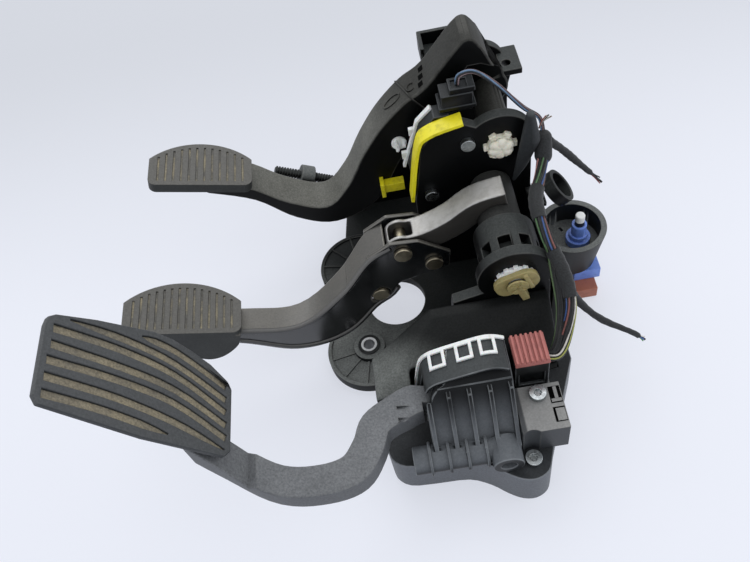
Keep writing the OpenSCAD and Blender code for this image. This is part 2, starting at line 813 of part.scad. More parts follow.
module clutch_bushes() {
    color([0.75, 0.72, 0.62]) {
        plain_bush(clutch_p, clutch_hub_y[0], -1);
        plain_bush(clutch_p, clutch_hub_y[1], 1);
    }
}

// Snap pin that the clutch push rod hangs on
module pushrod_pin() {
    color("white") {
        ybar(pushrod_p, pushrod_pin_r, [clutch_y[0] - 1, clutch_y[0] + clutch_wall]);
        ybar(pushrod_p, pushrod_pin_r + 2.5, [clutch_y[0] - 2, clutch_y[0]]);
        for (a = [0:120:240]) translate([pushrod_p[0], 0, pushrod_p[1]]) rotate([0, a, 0])
            box([2, 4.5], [clutch_y[0] - 6, clutch_y[0] - 1], [-1, 1]);
    }
}

// Yellow clip on the side of the clutch arm
module pushrod_clip() {
    color([0.9, 0.8, 0.1]) {
        box([4, 22], [clutch_y[0] - 7, clutch_y[0]], [80, 88]);
        box([4, 7], [clutch_y[0] - 9, clutch_y[0]], [77, 91]);
    }
}

// Plastic stud with a ridged thread that carries the stop disc
module clutch_stop_stud() {
    color([0.12, 0.12, 0.12]) at_stud_root() {
        translate([0, 0, -8]) cylinder(h = stop_stud_l + 8, r = stud_thread_r - 1);
        for (z = [1:2.2:stop_stud_l]) if (z < stop_disc_z[0] - 2 || z > stop_disc_z[1])
            translate([0, 0, z]) cylinder(h = 1.1, r = stud_thread_r);
    }
}

module clutch_stop_disc() {
    color([0.18, 0.18, 0.18]) at_stud_root() translate([0, 0, stop_disc_z[0]]) difference() {
        cylinder(h = stop_disc_z[1] - stop_disc_z[0], r = 8.5);
        translate([0, 0, -1]) cylinder(h = 20, r = stud_thread_r - 1 + press_gap);
    }
}

// Wedge body of the clutch position sensor, screwed to the middle wall
module clutch_sensor() {
    color([0.08, 0.08, 0.08]) yslab([mid_wall[1], 47.5])
        polygon([[34, 98], [27, 116], [38, 150], [48, 160], [58, 160], [66, 140], [58, 120]]);
}

// Pale seam along the sensor's edge, with two small clips
module clutch_sensor_strip() {
    seam = [[25, 110], [27, 116], [38, 150], [48, 160]];
    y = [43.5, 47.5];
    color("white") {
        yslab(y) polygon(concat(shifted(seam, 2), reversed(seam)));
        for (p = [[28, 121], [35, 142]])
            box([p[0] - 4.5, p[0] - 0.6], [y[0] + 0.5, y[1] - 0.5], [p[1] - 3, p[1] + 3]);
    }
}

// Plug on the clutch position sensor
module clutch_connector() {
    color([0.1, 0.1, 0.1]) difference() {
        union() {
            box([54, 75], [37, 51], [160, 174]);
            box([52, 77], [36, 53], [162, 165]);
            box([60, 77], [38, 50], [174 - eps, 178]);
        }
        box([62, 72], [40, 48], [176.5, 179]);
    }
}

// Yellow leaf that guides the clutch arm's tab past the middle wall
module sensor_leaf() {
    edge = smooth([[27, 94], [35, 141], [43, 153], [66, 159]]);
    color([0.9, 0.8, 0.1]) yslab([mid_wall[0] - 4, mid_wall[1]]) difference() {
        polygon(concat(shifted(edge, 2.5), reversed(edge)));
        polygon(mid_outline);
    }
}

// Section of the accelerator housing, as station and height
module housing_section(t) {
    polygon([[-148 + t, platform_h + t], [-148 + t, 50], [-124 + t, 86 - t], [-98 - t, 97 - t],
             [-98 - t, platform_h + t]]);
}

// Housing of the accelerator module: shell, ribs and spring cage
module accelerator_housing() {
    color([0.1, 0.1, 0.1]) difference() {
        union() {
            xslab(module_x) housing_section(0);
            // Upright ribs on the sloping side
            for (x = rib_xs) xslab([x - rib_t / 2, x + rib_t / 2])
                polygon([[-154, platform_h], [-154, 50], [-130, 84], [-124, 84], [-140, platform_h]]);
            // Spring cage with its cross ribs
            translate([-4, cage_p[0], cage_p[1]]) rotate([0, 90, 0]) {
                cylinder(h = 58, r = cage_r);
                for (h = [10:12:46]) translate([0, 0, h]) cylinder(h = 2, r = cage_r + 2);
            }
            // Round boss at the cage's end
            ybar(boss_p, 10, [-165, -147]);
        }
        difference() {
            xslab([module_x[0] - 20, module_x[1] - 3]) intersection() {
                housing_section(3);
                translate([cavity_y[0], 0]) square([cavity_y[1] - cavity_y[0], 200]);
            }
            // Spigot that the return spring sits on
            ybar(accel_p, spigot_r, [spring_y[0] - 1, cavity_y[1] + 1]);
        }
        // Roof cut to the arched lid
        yslab([lid_y[0] - 9, lid_y[1] + 8])
            polygon(concat(shifted(smooth(lid_line, 4), -lid_t),
                           [[80, 91], [80, 140], [-10, 140], [-10, 41]]));
        ybar(boss_p, 5, [-170, -152]);
        ybar(accel_p, accel_pin_r + press_gap, accel_pin_y);
        box([-10, 80], [-170, -98], [0, platform_h]);
    }
}

// Arched lid over the accelerator module, with a leg that reaches down at its left
module accelerator_cover() {
    line = smooth(lid_line, 4);
    color([0.12, 0.12, 0.12]) difference() {
        yslab(lid_y) polygon(ring_between(line, shifted(line, -lid_t)));
        // The leg stays clear of the arm
        box([-10, 30], [lid_y[0] - 1, lid_leg_y], [0, lid_leg_top]);
        box([-10, 30], [lid_y[0] - 1, lid_y[1] + 1], [0, platform_h + 4]);
    }
}

// Pale strip with three windows along the lid's back edge
module cover_strip() {
    line = smooth(lid_line, 4);
    raised = ring_between(shifted(line, 1.8), line);
    color("white") difference() {
        union() {
            yslab([lid_y[1] - 2.4, lid_y[1]]) polygon(raised);
            for (x = strip_windows) intersection() {
                yslab([lid_y[1] - 13.5, lid_y[1] - 2.4 + eps]) polygon(raised);
                box([x - 5.5, x + 5.5], [lid_y[0], lid_y[1]], [0, 140]);
            }
        }
        for (x = strip_windows) box([x - 3.4, x + 3.4], [lid_y[1] - 11.4, lid_y[1] - 3], [0, 140]);
        box([-10, 30], [lid_y[0], lid_y[1] + 1], [0, platform_h + 4]);
    }
}

// Sensor box beside the housing
module accelerator_sensor() {
    color([0.16, 0.16, 0.16]) difference() {
        union() {
            box(sensor_x, sensor_y, [platform_h, sensor_top]);
            box([sensor_x[0], sensor_x[1] - 3], [sensor_y[1] - eps, -95], [platform_h, plug_z[0]]);
        }
        for (y = [[-150, -141], [-138, -129]]) box([90, 97], y, [52, 60]);
        zbar(screw_ps[0], 8, [0, 80]);
        zbar(screw_ps[1], screw_r + press_gap, [0, 80]);
    }
}

module accelerator_plug() {
    color([0.09, 0.09, 0.09]) difference() {
        box(plug_x, plug_y, plug_z);
        box([plug_x[0] + 3, plug_x[1] - 3], [plug_y[0] - 1, plug_y[0] + 2], [58, 72]);
    }
}

// Maroon lock slide with finger ridges on top of the plug
module accelerator_plug_cap() {
    color([0.45, 0.2, 0.2]) {
        box(plug_x, [plug_y[0] - 1, plug_y[1]], [plug_z[1], plug_z[1] + 4]);
        for (i = [0:6]) let (x = plug_x[0] + 0.6 + 3.1 * i)
            box([x, x + 1.8], [plug_y[0] - 1, plug_y[1]], [plug_z[1] + 4 - eps, plug_z[1] + 6]);
    }
}

// Star-drive screws that hold the accelerator module down
module accelerator_screw(z) {
    zbar([0, 0], screw_r, [platform_h - 16, z + eps]);
    difference() {
        zbar([0, 0], 5.5, [z, z + 3.5]);
        for (a = [0:60:120]) rotate(a) box([-2.4, 2.4], [-0.8, 0.8], [z + 1.5, z + 4]);
    }
}

module accelerator_screws() {
    color("silver") for (p = screw_ps) translate([p[0], p[1], 0]) accelerator_screw(p[2]);
}

module accelerator_pivot_pin() {
    color("silver") ybar(accel_p, accel_pin_r, accel_pin_y);
}

// Return spring around the pivot
module accelerator_spring() {
    rise = (spring_y[1] - spring_y[0]) / (12 * spring_turns);
    coil = [for (i = [0:12 * spring_turns]) [spring_r * cos(30 * i), spring_r * sin(30 * i), rise * i]];
    color("silver") translate([accel_p[0], spring_y[1], accel_p[1]]) rotate([90, 0, 0])
        tube(coil, spring_wire_r, 8, 1);
}

// Cranked arm of the accelerator pedal, with its hub
module accelerator_arm() {
    side = smooth(accel_side);
    plan = smooth(accel_plan);
    color([0.2, 0.2, 0.2]) difference() {
        union() {
            intersection() {
                yslab([-190, -100]) polygon(strip(side, accel_arm_t));
                linear_extrude(220) polygon(strip(plan, accel_arm_w));
                box([accel_arm_end, accel_p[0]], [-190, accel_hub_y[1]], [0, 220]);
            }
            ybar(accel_p, accel_hub_r, accel_hub_y);
        }
        ybar(accel_p, accel_pin_r + run_gap, [-160, -90]);
        box([22, 60], [-190, accel_hub_y[0]], [0, 200]);
        // Relief under the housing's sloping wall
        box([8, 60], [-190, accel_relief_y], [accel_p[1], 200]);
        on_pad(accel_pad_c, accel_tilt) translate([-80, -60, -accel_pad_t]) cube([160, 120, 60]);
        // Two finger slots beside the housing
        for (y = [-138, -130]) box([-8, 8], [y, y + 2], [78, 100]);
    }
}

// Moulded accelerator pad with long fanned grooves
module accelerator_pad() {
    color([0.15, 0.16, 0.17]) on_pad(accel_pad_c, accel_tilt) difference() {
        union() {
            translate([0, 0, -accel_rim_t]) linear_extrude(accel_rim_t) polygon(accel_pad_edge);
            translate([0, 0, -accel_pad_t]) linear_extrude(accel_pad_t - accel_rim_t + eps)
                polygon(accel_back_k * accel_pad_edge);
        }
        for (i = [0:len(accel_grooves) - 1]) translate([0, 0, -groove_deep]) linear_extrude(groove_deep + 1)
            polygon(pointed(smooth(sized(accel_grooves[i]), 4), groove_w, accel_groove_ends[i]));
    }
}

// Stop lamp switch: threaded barrel, collar and lower body
module switch_body() {
    color([0.15, 0.3, 0.75]) difference() {
        union() {
            zbar(switch_p, switch_r, [22, cup_floor[1] + 10]);
            box([switch_p[0] - 5, 158], [-14, 4], [12, 23]);
            zbar(switch_p, 9, [cup_floor[1], cup_floor[1] + 6]);
            zbar(switch_p, 5.5, [cup_floor[1] + 10 - eps, cup_floor[1] + 20]);
        }
        zbar(switch_p, plunger_r + run_gap, [cup_floor[1] + 2, 100]);
    }
}

module switch_plunger() {
    color("white") {
        zbar(switch_p, plunger_r, [cup_floor[1] + 2 + plunger_travel + 1, cup_floor[1] + 30]);
    }
}

// Brown plug under the stop lamp switch
module switch_connector() {
    color([0.5, 0.25, 0.17]) box([134, 154], [-24, -7], [1, 12]);
}

module loom_upper_run() {
    color([0.3, 0.25, 0.3]) tube(loom_upper, wires_r);
}

// Taped joint where the wiring parts
module loom_joint() {
    color([0.1, 0.1, 0.1]) hull() {
        translate(loom_joint_a) sphere(loom_r + 1.5, $fn = 24);
        translate(loom_joint_b) sphere(loom_r + 1.5, $fn = 24);
    }
}

module loom_lower_run() {
    color([0.12, 0.12, 0.12]) tube(loom_lower, loom_r);
}

// Loose rubber flap over the joint
module loom_flap() {
    color([0.16, 0.16, 0.16]) hull() {
        translate([109, 20, 161]) sphere(3, $fn = 24);
        translate([110.5, 20.5, 139]) sphere(5.5, $fn = 24);
        translate([104, 20, 118]) sphere(3.6, $fn = 24);
        translate([98, 18.5, 105]) sphere(1.2, $fn = 24);
    }
}

module upper_tail_cord() {
    color([0.1, 0.1, 0.1]) tube(upper_tail, tail_r, 8);
}

module lower_tail_cord() {
    color([0.1, 0.1, 0.1]) tube(lower_tail, tail_r, 8);
}

bracket();
bracket_flank();
bracket_platform();
bracket_near_wall();
bracket_middle_wall();
bracket_far_wall();
bracket_rear_wall();
bulkhead_bushes();
switch_cup();
cable_guide();
wall_bolts();
brake_pivot_pin();
brake_pivot_washer();
brake_pivot_clip();
clutch_pivot_pin();
clutch_pivot_clip();
brake_arm();
brake_pad();
brake_lever();
brake_lever_pin();
brake_rivets();
brake_hub();
brake_bushes();
clutch_arm();
clutch_pad();
clutch_hub_sleeve();
clutch_bushes();
pushrod_pin();
pushrod_clip();
clutch_stop_stud();
clutch_stop_disc();
clutch_sensor();
clutch_sensor_strip();
clutch_connector();
sensor_leaf();
accelerator_housing();
accelerator_cover();
cover_strip();
accelerator_sensor();
accelerator_plug();
accelerator_plug_cap();
accelerator_screws();
accelerator_pivot_pin();
accelerator_spring();
accelerator_arm();
accelerator_pad();
switch_body();
switch_plunger();
switch_connector();
loom_upper_run();
loom_joint();
loom_lower_run();
loom_flap();
upper_tail_cord();
lower_tail_cord();
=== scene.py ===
"""Pedal box with clutch, brake and accelerator: its looks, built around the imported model."""

import json
from functools import partial
from math import atan2, cos, pi, radians, sin

import bmesh
import bpy
from bpy.props import FloatProperty, FloatVectorProperty, IntProperty, PointerProperty
from mathutils import Matrix, Vector
from mathutils.bvhtree import BVHTree

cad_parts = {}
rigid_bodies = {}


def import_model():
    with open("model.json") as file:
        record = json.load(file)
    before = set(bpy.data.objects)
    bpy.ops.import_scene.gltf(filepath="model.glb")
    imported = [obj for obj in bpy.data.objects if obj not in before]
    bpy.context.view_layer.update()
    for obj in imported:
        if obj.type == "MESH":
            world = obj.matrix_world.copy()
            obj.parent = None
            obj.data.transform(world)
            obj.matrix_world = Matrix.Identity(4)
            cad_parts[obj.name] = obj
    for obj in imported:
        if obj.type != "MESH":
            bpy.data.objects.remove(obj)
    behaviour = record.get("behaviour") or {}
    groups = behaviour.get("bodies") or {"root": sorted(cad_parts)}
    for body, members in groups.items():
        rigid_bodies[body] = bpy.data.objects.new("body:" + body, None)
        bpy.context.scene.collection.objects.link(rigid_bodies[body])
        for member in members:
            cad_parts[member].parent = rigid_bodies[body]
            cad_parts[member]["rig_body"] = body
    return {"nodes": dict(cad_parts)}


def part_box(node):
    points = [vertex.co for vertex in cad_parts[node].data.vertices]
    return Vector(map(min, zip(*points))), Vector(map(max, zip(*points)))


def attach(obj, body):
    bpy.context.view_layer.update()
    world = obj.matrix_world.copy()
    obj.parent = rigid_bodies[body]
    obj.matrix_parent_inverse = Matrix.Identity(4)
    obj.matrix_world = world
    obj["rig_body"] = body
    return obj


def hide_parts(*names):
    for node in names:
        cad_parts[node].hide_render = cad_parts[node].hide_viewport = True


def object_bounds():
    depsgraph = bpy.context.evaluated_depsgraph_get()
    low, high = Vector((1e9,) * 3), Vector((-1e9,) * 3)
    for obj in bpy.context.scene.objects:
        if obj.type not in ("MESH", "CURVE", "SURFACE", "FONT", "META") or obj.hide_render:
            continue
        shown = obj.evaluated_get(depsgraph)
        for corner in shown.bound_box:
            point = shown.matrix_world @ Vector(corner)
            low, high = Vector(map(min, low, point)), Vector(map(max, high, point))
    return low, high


for spare in list(bpy.data.objects):
    bpy.data.objects.remove(spare)

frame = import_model()

bl_info = {
    "name": "Pedal box",
    "version": (1, 0, 0),
    "blender": (4, 5, 0),
    "location": "3D View > Sidebar > Pedal box",
    "description": "Dresses a car's pedal box: bracket, three pedals, sensors and wiring",
    "category": "Object",
}

NODES = frame["nodes"]
CAD_BOX = [list(corner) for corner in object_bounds()]
MM = 0.001
TURN = 2 * pi
# corners of a solid that are closer than this, in metres, are one
MERGE = 5e-6
# spacing of the four bulkhead studs, in millimetres
STUDS = (52, 80)


def linear(code):
    """A linear colour from an sRGB hex value."""
    parts = [int(code[i:i + 2], 16) / 255 for i in (1, 3, 5)]
    return (*[p / 12.92 if p <= 0.04045 else ((p + 0.055) / 1.055) ** 2.4 for p in parts], 1.0)


def tint(name, description, code):
    """A colour that a user can change."""
    return FloatVectorProperty(name=name, description=description, subtype="COLOR", size=4, min=0, max=1,
                               default=linear(code))


def length(name, description, value):
    """A size that a user can change, in metres."""
    return FloatProperty(name=name, description=description, unit="LENGTH", subtype="DISTANCE", min=0,
                         precision=5, default=value * MM)


class PedalBoxColours(bpy.types.PropertyGroup):
    """Colours of the pedal box's finishes."""

    bracket: tint("Bracket", "Glass-filled nylon of the bracket under its dust", "#111415")
    # the film on what faces up is dust and a painted sheen
    bracket_film: tint("Bracket dust", "Film of dust on what faces up on the bracket", "#686b69")
    arm: tint("Pedal arms", "Nylon of the clutch arm under its dust", "#030404")
    # the film on what faces up is dust and a painted sheen
    arm_film: tint("Arm dust", "Film of dust on what faces up on the clutch arm", "#6e6e68")
    paint: tint("Brake arm paint", "Black paint of the brake arm", "#101214")
    rubber: tint("Pad rubber", "Worn rubber of the brake and clutch pads", "#5c5b57")
    groove: tint("Groove dirt", "Dry dirt in the grooves of the pads", "#978e76")
    tread: tint("Accelerator tread", "Ridges of the accelerator pad", "#4a4c4d")
    steel: tint("Lever steel", "Bare worn steel of the brake lever", "#b6b5b2")
    yellow: tint("Yellow plastic", "Clutch sensor's leaf and the push rod clip", "#e8dc1c")
    blue: tint("Blue plastic", "Body of the stop lamp switch", "#7595e4")
    maroon: tint("Maroon plastic", "Cap of the accelerator's plug", "#ac6760")
    floor: tint("Floor", "Pale paper under the part", "#e9ecf5")


class PedalBoxSizes(bpy.types.PropertyGroup):
    """Sizes of the pedal box's finer details."""

    edge: length("Edge rounding", "Rounding of the moulded edges", 0.7)
    grain: length("Plastic grain", "Spacing of the specks in the moulded plastic", 1.3)
    wire: length("Wire radius", "Radius of one insulated wire", 0.6)
    strand: length("Strand radius", "Radius of a bare strand at a cut end", 0.3)
    tape: length("Tape pitch", "Advance of the cloth tape from one turn to the next", 6.0)
    wire_sides: IntProperty(name="Wire sides", description="Sides of a wire's round section", min=5, default=8)


def colours():
    """The colours set for this scene."""
    return bpy.context.scene.pedal_box_colours


def sizes():
    """The sizes set for this scene."""
    return bpy.context.scene.pedal_box_sizes


# ---- building blocks


def feed(tree, node, into):
    """Puts values or other nodes' outputs into a node's sockets, which are named or taken in order."""
    for socket, value in into.items() if isinstance(into, dict) else enumerate(into):
        if isinstance(value, bpy.types.NodeSocket):
            tree.links.new(value, node.inputs[socket])
        else:
            node.inputs[socket].default_value = value


def add(tree, kind, into=(), out=0, **settings):
    """Adds a node of the tree's family with its settings; gives one of its outputs, or the node if out is None."""
    node = tree.nodes.new(tree.bl_idname.removesuffix("Tree") + kind)
    for key, value in settings.items():
        setattr(node, key, value)
    feed(tree, node, into)
    return node if out is None else node.outputs[out]


def blank(name):
    """A new material, its coordinates, and what adds a node to it and feeds its shader."""
    material = bpy.data.materials.new(name)
    material.use_nodes = True
    tree = material.node_tree
    tree.nodes.clear()
    new = partial(add, tree)
    shader = new("BsdfPrincipled", out=None)
    new("OutputMaterial", {"Surface": shader.outputs[0]}, None)
    return material, new, new("TexCoord", out=None).outputs, partial(feed, tree, shader)


def placed(name, mesh):
    """A new object at the origin that holds a mesh."""
    obj = bpy.data.objects.new(name, mesh)
    bpy.context.scene.collection.objects.link(obj)
    return obj


def shaped(bm, name, coat, smooth=0):
    """A new object with a bmesh's faces and a finish, smooth over edges up to an angle in degrees."""
    mesh = bpy.data.meshes.new(name)
    bm.to_mesh(mesh)
    bm.free()
    if smooth:
        mesh.shade_smooth()
        mesh.set_sharp_from_angle(angle=radians(smooth))
    mesh.materials.append(finish(coat))
    return placed(name, mesh)


def block(bm, place, *sides):
    """Adds a block with sides in millimetres to a bmesh, where a matrix puts it."""
    bmesh.ops.create_cube(bm, size=1, matrix=place @ Matrix.Diagonal((*[side * MM for side in sides], 1)))


def settle(obj):
    """Makes what the modifiers give the piece's own plain mesh."""
    graph = bpy.context.evaluated_depsgraph_get()
    mesh = bpy.data.meshes.new_from_object(obj.evaluated_get(graph), preserve_all_data_layers=True,
                                           depsgraph=graph)
    before = obj.data
    obj.modifiers.clear()
    obj.data = mesh
    bpy.data.meshes.remove(before)
    mesh.name = obj.name


def joined(obj, body, slot, *nodes):
    """Lets a finished piece ride on its body and stand for its solids, which it hides; slot is not used."""
    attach(obj, body)
    if nodes:
        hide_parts(*nodes)


def stands_for(obj, node):
    """Lets a finished piece ride with the solid that it stands for, which it hides."""
    solid = NODES[node]
    joined(obj, solid["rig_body"], solid.data.materials[0].name, node)


def merged(node):
    """A solid's faces with their loose corners joined."""
    bm = bmesh.new()
    bm.from_mesh(NODES[node].data)
    bmesh.ops.remove_doubles(bm, verts=bm.verts, dist=MERGE)
    return bm


def tread_plane(bm):
    """Direction and height of a pad's tread: the widest face that looks up."""
    widest = max((f for f in bm.faces if f.normal.z > 0.3), key=lambda f: f.calc_area())
    way = widest.normal.copy()
    return way, max(v.co.dot(way) for v in bm.verts)


def runs_of(mark, edges):
    """Numbers the chains of edges that touch, from 1 in the edges' order, and says how many there are."""
    left, count = set(edges), 0
    for first in edges:
        if first not in left:
            continue
        count += 1
        left.remove(first)
        reached = [first]
        while reached:
            edge = reached.pop()
            edge[mark] = count
            near = {other for vert in edge.verts for other in vert.link_edges if other in left}
            left -= near
            reached += near
    return count


def rounded(bm, width, part, bulk, least=28, shown=1):
    """Rounds the outward edges above a least angle whose middle lies in a part of the piece, run by run.
    A run that would leave the piece's box or break its volume is rounded less, or in halves.
    shown is how worn the new faces are."""
    slack, thinnest, fullest, most_halvings = 2e-5, 0.88, 1.002, 5
    low, high = [[pick(v.co[i] for v in bm.verts) for i in range(3)] for pick in (min, max)]
    worn, mark = bm.faces.layers.float["worn"], bm.edges.layers.int.new("run")
    middle = lambda edge: (edge.verts[0].co + edge.verts[1].co) / 2
    sharp = [e for e in bm.edges if len(e.link_faces) == 2 and e.is_convex and part(middle(e))
             and e.calc_face_angle(0) > radians(least) and not any(f[worn] for f in e.link_faces)]
    count = runs_of(mark, sharp)
    waiting = [(number, 0) for number in range(1, count + 1)]
    while waiting:
        number, halved = waiting.pop()
        for share in (1, 0.6, 0.35):
            trial = bm.copy()
            mark, worn = trial.edges.layers.int["run"], trial.faces.layers.float["worn"]
            made = bmesh.ops.bevel(trial, geom=[e for e in trial.edges if e[mark] == number],
                                   offset=width * share, offset_type="OFFSET", segments=2, profile=0.5,
                                   affect="EDGES", clamp_overlap=False)
            for face in made["faces"]:
                face[worn] = shown
            inside = all(low[i] - slack < v.co[i] < high[i] + slack for v in trial.verts for i in range(3))
            if inside and thinnest * bulk < trial.calc_volume() < fullest * bulk:
                bm.free()
                bm = trial
                break
            trial.free()
        else:
            mark = bm.edges.layers.int["run"]
            run = sorted((e for e in bm.edges if e[mark] == number), key=lambda e: tuple(middle(e)))
            if halved < most_halvings and len(run) > 1:
                count += 1
                for edge in run[len(run) // 2:]:
                    edge[mark] = count
                waiting += [(number, halved + 1), (count, halved + 1)]
    bm.edges.layers.int.remove(bm.edges.layers.int["run"])
    return bm


def dressed(node, coat, edge=None, grooved=False, wide=None, part=lambda spot: True):
    """A copy of a solid with its edges rounded: worn marks the rounded edges, dirt the floors of grooves.
    edge is in millimetres; wide is a larger rounding, the part of the piece that has it and the least angle
    that it takes; part tells which edges may be rounded at all."""
    edge = sizes().edge if edge is None else edge * MM
    bm = merged(node)
    bmesh.ops.dissolve_limit(bm, angle_limit=radians(0.6), verts=bm.verts, edges=bm.edges)
    bm.faces.layers.float.new("worn")
    dirt = bm.faces.layers.float.new("dirt")
    if grooved:
        way, top = tread_plane(bm)
        for face in bm.faces:
            depth = top - face.calc_center_median().dot(way)
            if 0.4 * MM < depth < 2.2 * MM and face.normal.dot(way) > 0.9:
                face[dirt] = 1
    bulk = bm.calc_volume()
    if wide:
        bm = rounded(bm, wide[0] * MM, wide[1], bulk, wide[2], 0.2)
    if edge:
        bm = rounded(bm, edge, part, bulk)
    obj = shaped(bm, node + "_skin", coat, 42)
    obj.modifiers.new("even_shading", "WEIGHTED_NORMAL").keep_sharp = True
    settle(obj)
    stands_for(obj, node)


def softened(node, coat, grid, passes, part=lambda spot: True):
    """A copy of a forged or deeply rounded solid: drawn on a fine grid and smoothed where part allows it."""
    obj = shaped(merged(node), node + "_skin", coat)
    drawn = obj.modifiers.new("grid", "REMESH")
    drawn.mode, drawn.voxel_size = "VOXEL", grid * MM
    settle(obj)
    obj.vertex_groups.new(name="free").add([v.index for v in obj.data.vertices if part(v.co)], 1, "REPLACE")
    even = obj.modifiers.new("soften", "SMOOTH")
    even.factor, even.iterations, even.vertex_group = 0.5, passes, "free"
    settle(obj)
    obj.vertex_groups.clear()
    obj.data.shade_smooth()
    obj.data.materials.clear()
    obj.data.materials.append(finish(coat))
    stands_for(obj, node)


def dress(**coats):
    """Dresses solids that are listed under their finishes, each with its rounding in millimetres."""
    for coat, nodes in coats.items():
        for node, edge in nodes.items():
            dressed(node, coat, edge)


# ---- paths, wires and tubes


def spline(points, steps=8):
    """A smooth line through points in millimetres, as points in metres."""
    pts = [Vector(p) * MM for p in points]
    line = []
    for i in range(len(pts) - 1):
        a, b, c, d = pts[max(i - 1, 0)], pts[i], pts[i + 1], pts[min(i + 2, len(pts) - 1)]
        for k in range(steps):
            t = k / steps
            line.append(0.5 * (2 * b + (c - a) * t + (2 * a - 5 * b + 4 * c - d) * t * t
                               + (3 * b - a - 3 * c + d) * t ** 3))
    return line + [pts[-1]]


def read_off(line, at):
    """Height of a line, given as across and height in millimetres, at a place across."""
    for (a, low), (b, high) in zip(line, line[1:]):
        if a <= at <= b:
            return low + (high - low) * (at - a) / (b - a)
    raise ValueError(f"{at} lies outside the line")


def profile(points):
    """A smooth side line of an arm as across and height in millimetres."""
    return [(p.x / MM, p.z / MM) for p in spline([(x, 0, z) for x, z in points])]


def carried(line):
    """Each point of a line with the run up to it and two directions across, carried along without twist."""
    run, side = 0.0, None
    for i, p in enumerate(line):
        run += (p - line[i - 1]).length if i else 0
        way = (line[min(i + 1, len(line) - 1)] - line[max(i - 1, 0)]).normalized()
        side = Vector((0, 0, 1)).cross(way) if side is None else side
        side = (side - way * side.dot(way)).normalized()
        yield p, run, side, way.cross(side)


def beside(line, away, phase, turn, ripple):
    """A wire's line that winds round another line at a distance."""
    wire = []
    for p, run, side, up in carried(line):
        angle = phase + turn * run
        reach = away * (1 - ripple * sin(3 * angle + phase) ** 2)
        wire.append(p + side * (reach * cos(angle)) + up * (reach * sin(angle)))
    return wire


def tube(name, line, radius, coat, sides=16):
    """A closed round tube along a line; radius is a function of the run and of the angle round it."""
    bm = bmesh.new()
    turns = [TURN * k / sides for k in range(sides)]
    rings = [[bm.verts.new(p + radius(run, a) * (side * cos(a) + up * sin(a))) for a in turns]
             for p, run, side, up in carried(line)]
    for here, there in zip(rings, rings[1:]):
        for k in range(sides):
            after = (k + 1) % sides
            bm.faces.new((here[k], here[after], there[after], there[k]))
    for ring in (rings[0][::-1], rings[-1]):
        bm.faces.new(ring)
    bmesh.ops.recalc_face_normals(bm, faces=bm.faces)
    return shaped(bm, name, coat, 50)


def grow(obj, tree, values):
    """Runs a tree on an object and keeps the plain mesh that it makes."""
    modifier = obj.modifiers.new(tree.name, "NODES")
    modifier.node_group = tree
    for socket in tree.interface.items_tree:
        if socket.name in values and socket.in_out == "INPUT":
            modifier[socket.identifier] = values[socket.name]
    settle(obj)
    return obj


def swept_tree(name, inputs, curve):
    """Tree that sweeps a round wire along the curve that its inputs give, and coats it."""
    found = bpy.data.node_groups.get(name)
    if found:
        return found
    tree = bpy.data.node_groups.new(name, "GeometryNodeTree")
    for label, kind in (("Start", "Geometry"), *[(label, "Float") for label in inputs], ("Wire radius", "Float"),
                        ("Sides", "Int"), ("Finish", "Material")):
        tree.interface.new_socket(label, in_out="INPUT", socket_type="NodeSocket" + kind)
    tree.interface.new_socket("Wires", in_out="OUTPUT", socket_type="NodeSocketGeometry")
    given = tree.nodes.new("NodeGroupInput").outputs
    section = add(tree, "CurvePrimitiveCircle", {"Resolution": given["Sides"], "Radius": given["Wire radius"]})
    swept = add(tree, "CurveToMesh", {"Curve": curve(tree, given), "Profile Curve": section, "Fill Caps": True})
    smooth = add(tree, "SetShadeSmooth", {"Geometry": swept})
    plain = add(tree, "RealizeInstances", {"Geometry": smooth})
    coat = add(tree, "SetMaterial", {"Geometry": plain, "Material": given["Finish"]})
    feed(tree, tree.nodes.new("NodeGroupOutput"), (coat,))
    return tree


def wires(name, lines, codes, radius, coat="wire_skin"):
    """Wires of several colours as one piece, each line with its colour."""
    points, links, shades = [], [], []
    for line, code in zip(lines, codes):
        first = len(points)
        points += [tuple(p) for p in line]
        links += [(i, i + 1) for i in range(first, len(points) - 1)]
        shades += [c for _ in line for c in linear(code)]
    mesh = bpy.data.meshes.new(name)
    mesh.from_pydata(points, links, [])
    mesh.attributes.new("skin", "FLOAT_COLOR", "POINT").data.foreach_set("color", shades)
    along = lambda tree, given: add(tree, "MeshToCurve", {"Mesh": given["Start"]})
    return grow(placed(name, mesh), swept_tree("wires_along_lines", (), along),
                {"Wire radius": radius, "Sides": sizes().wire_sides, "Finish": finish(coat)})


def coil(name, turns, radius, reach, wire, coat):
    """A coil spring along +Z, with its sizes in millimetres."""
    wound = lambda tree, given: add(tree, "CurveSpiral", {
        "Resolution": 32, "Rotations": given["Turns"], "Start Radius": given["Coil radius"],
        "End Radius": given["Coil radius"], "Height": given["Length"]})
    return grow(placed(name, bpy.data.meshes.new(name)),
                swept_tree("coil_spring", ("Turns", "Coil radius", "Length"), wound),
                {"Turns": turns, "Coil radius": radius * MM, "Length": reach * MM, "Wire radius": wire * MM,
                 "Sides": 10, "Finish": finish(coat)})


# ---- finishes


# settings of the nodes that ease between two values and multiply
SMOOTH = dict(interpolation_type="SMOOTHSTEP")
TIMES = dict(operation="MULTIPLY")


def paint(code):
    """A colour of the panel by its name, or any colour by its sRGB hex value."""
    return linear(code) if code.startswith("#") else getattr(colours(), code)


def noise(new, spot, across, detail=2, rough=0.5):
    """A cloudy pattern with clouds so many metres across."""
    return new("TexNoise", {"Vector": spot, "Scale": 1 / across, "Detail": detail, "Roughness": rough})


def mix(new, share, one, other, **settings):
    """One colour with a share of another over it, each from a node or by its name or value."""
    one, other = [paint(colour) if isinstance(colour, str) else colour for colour in (one, other)]
    return new("Mix", {0: share, 6: one, 7: other}, 2, data_type="RGBA", **settings)


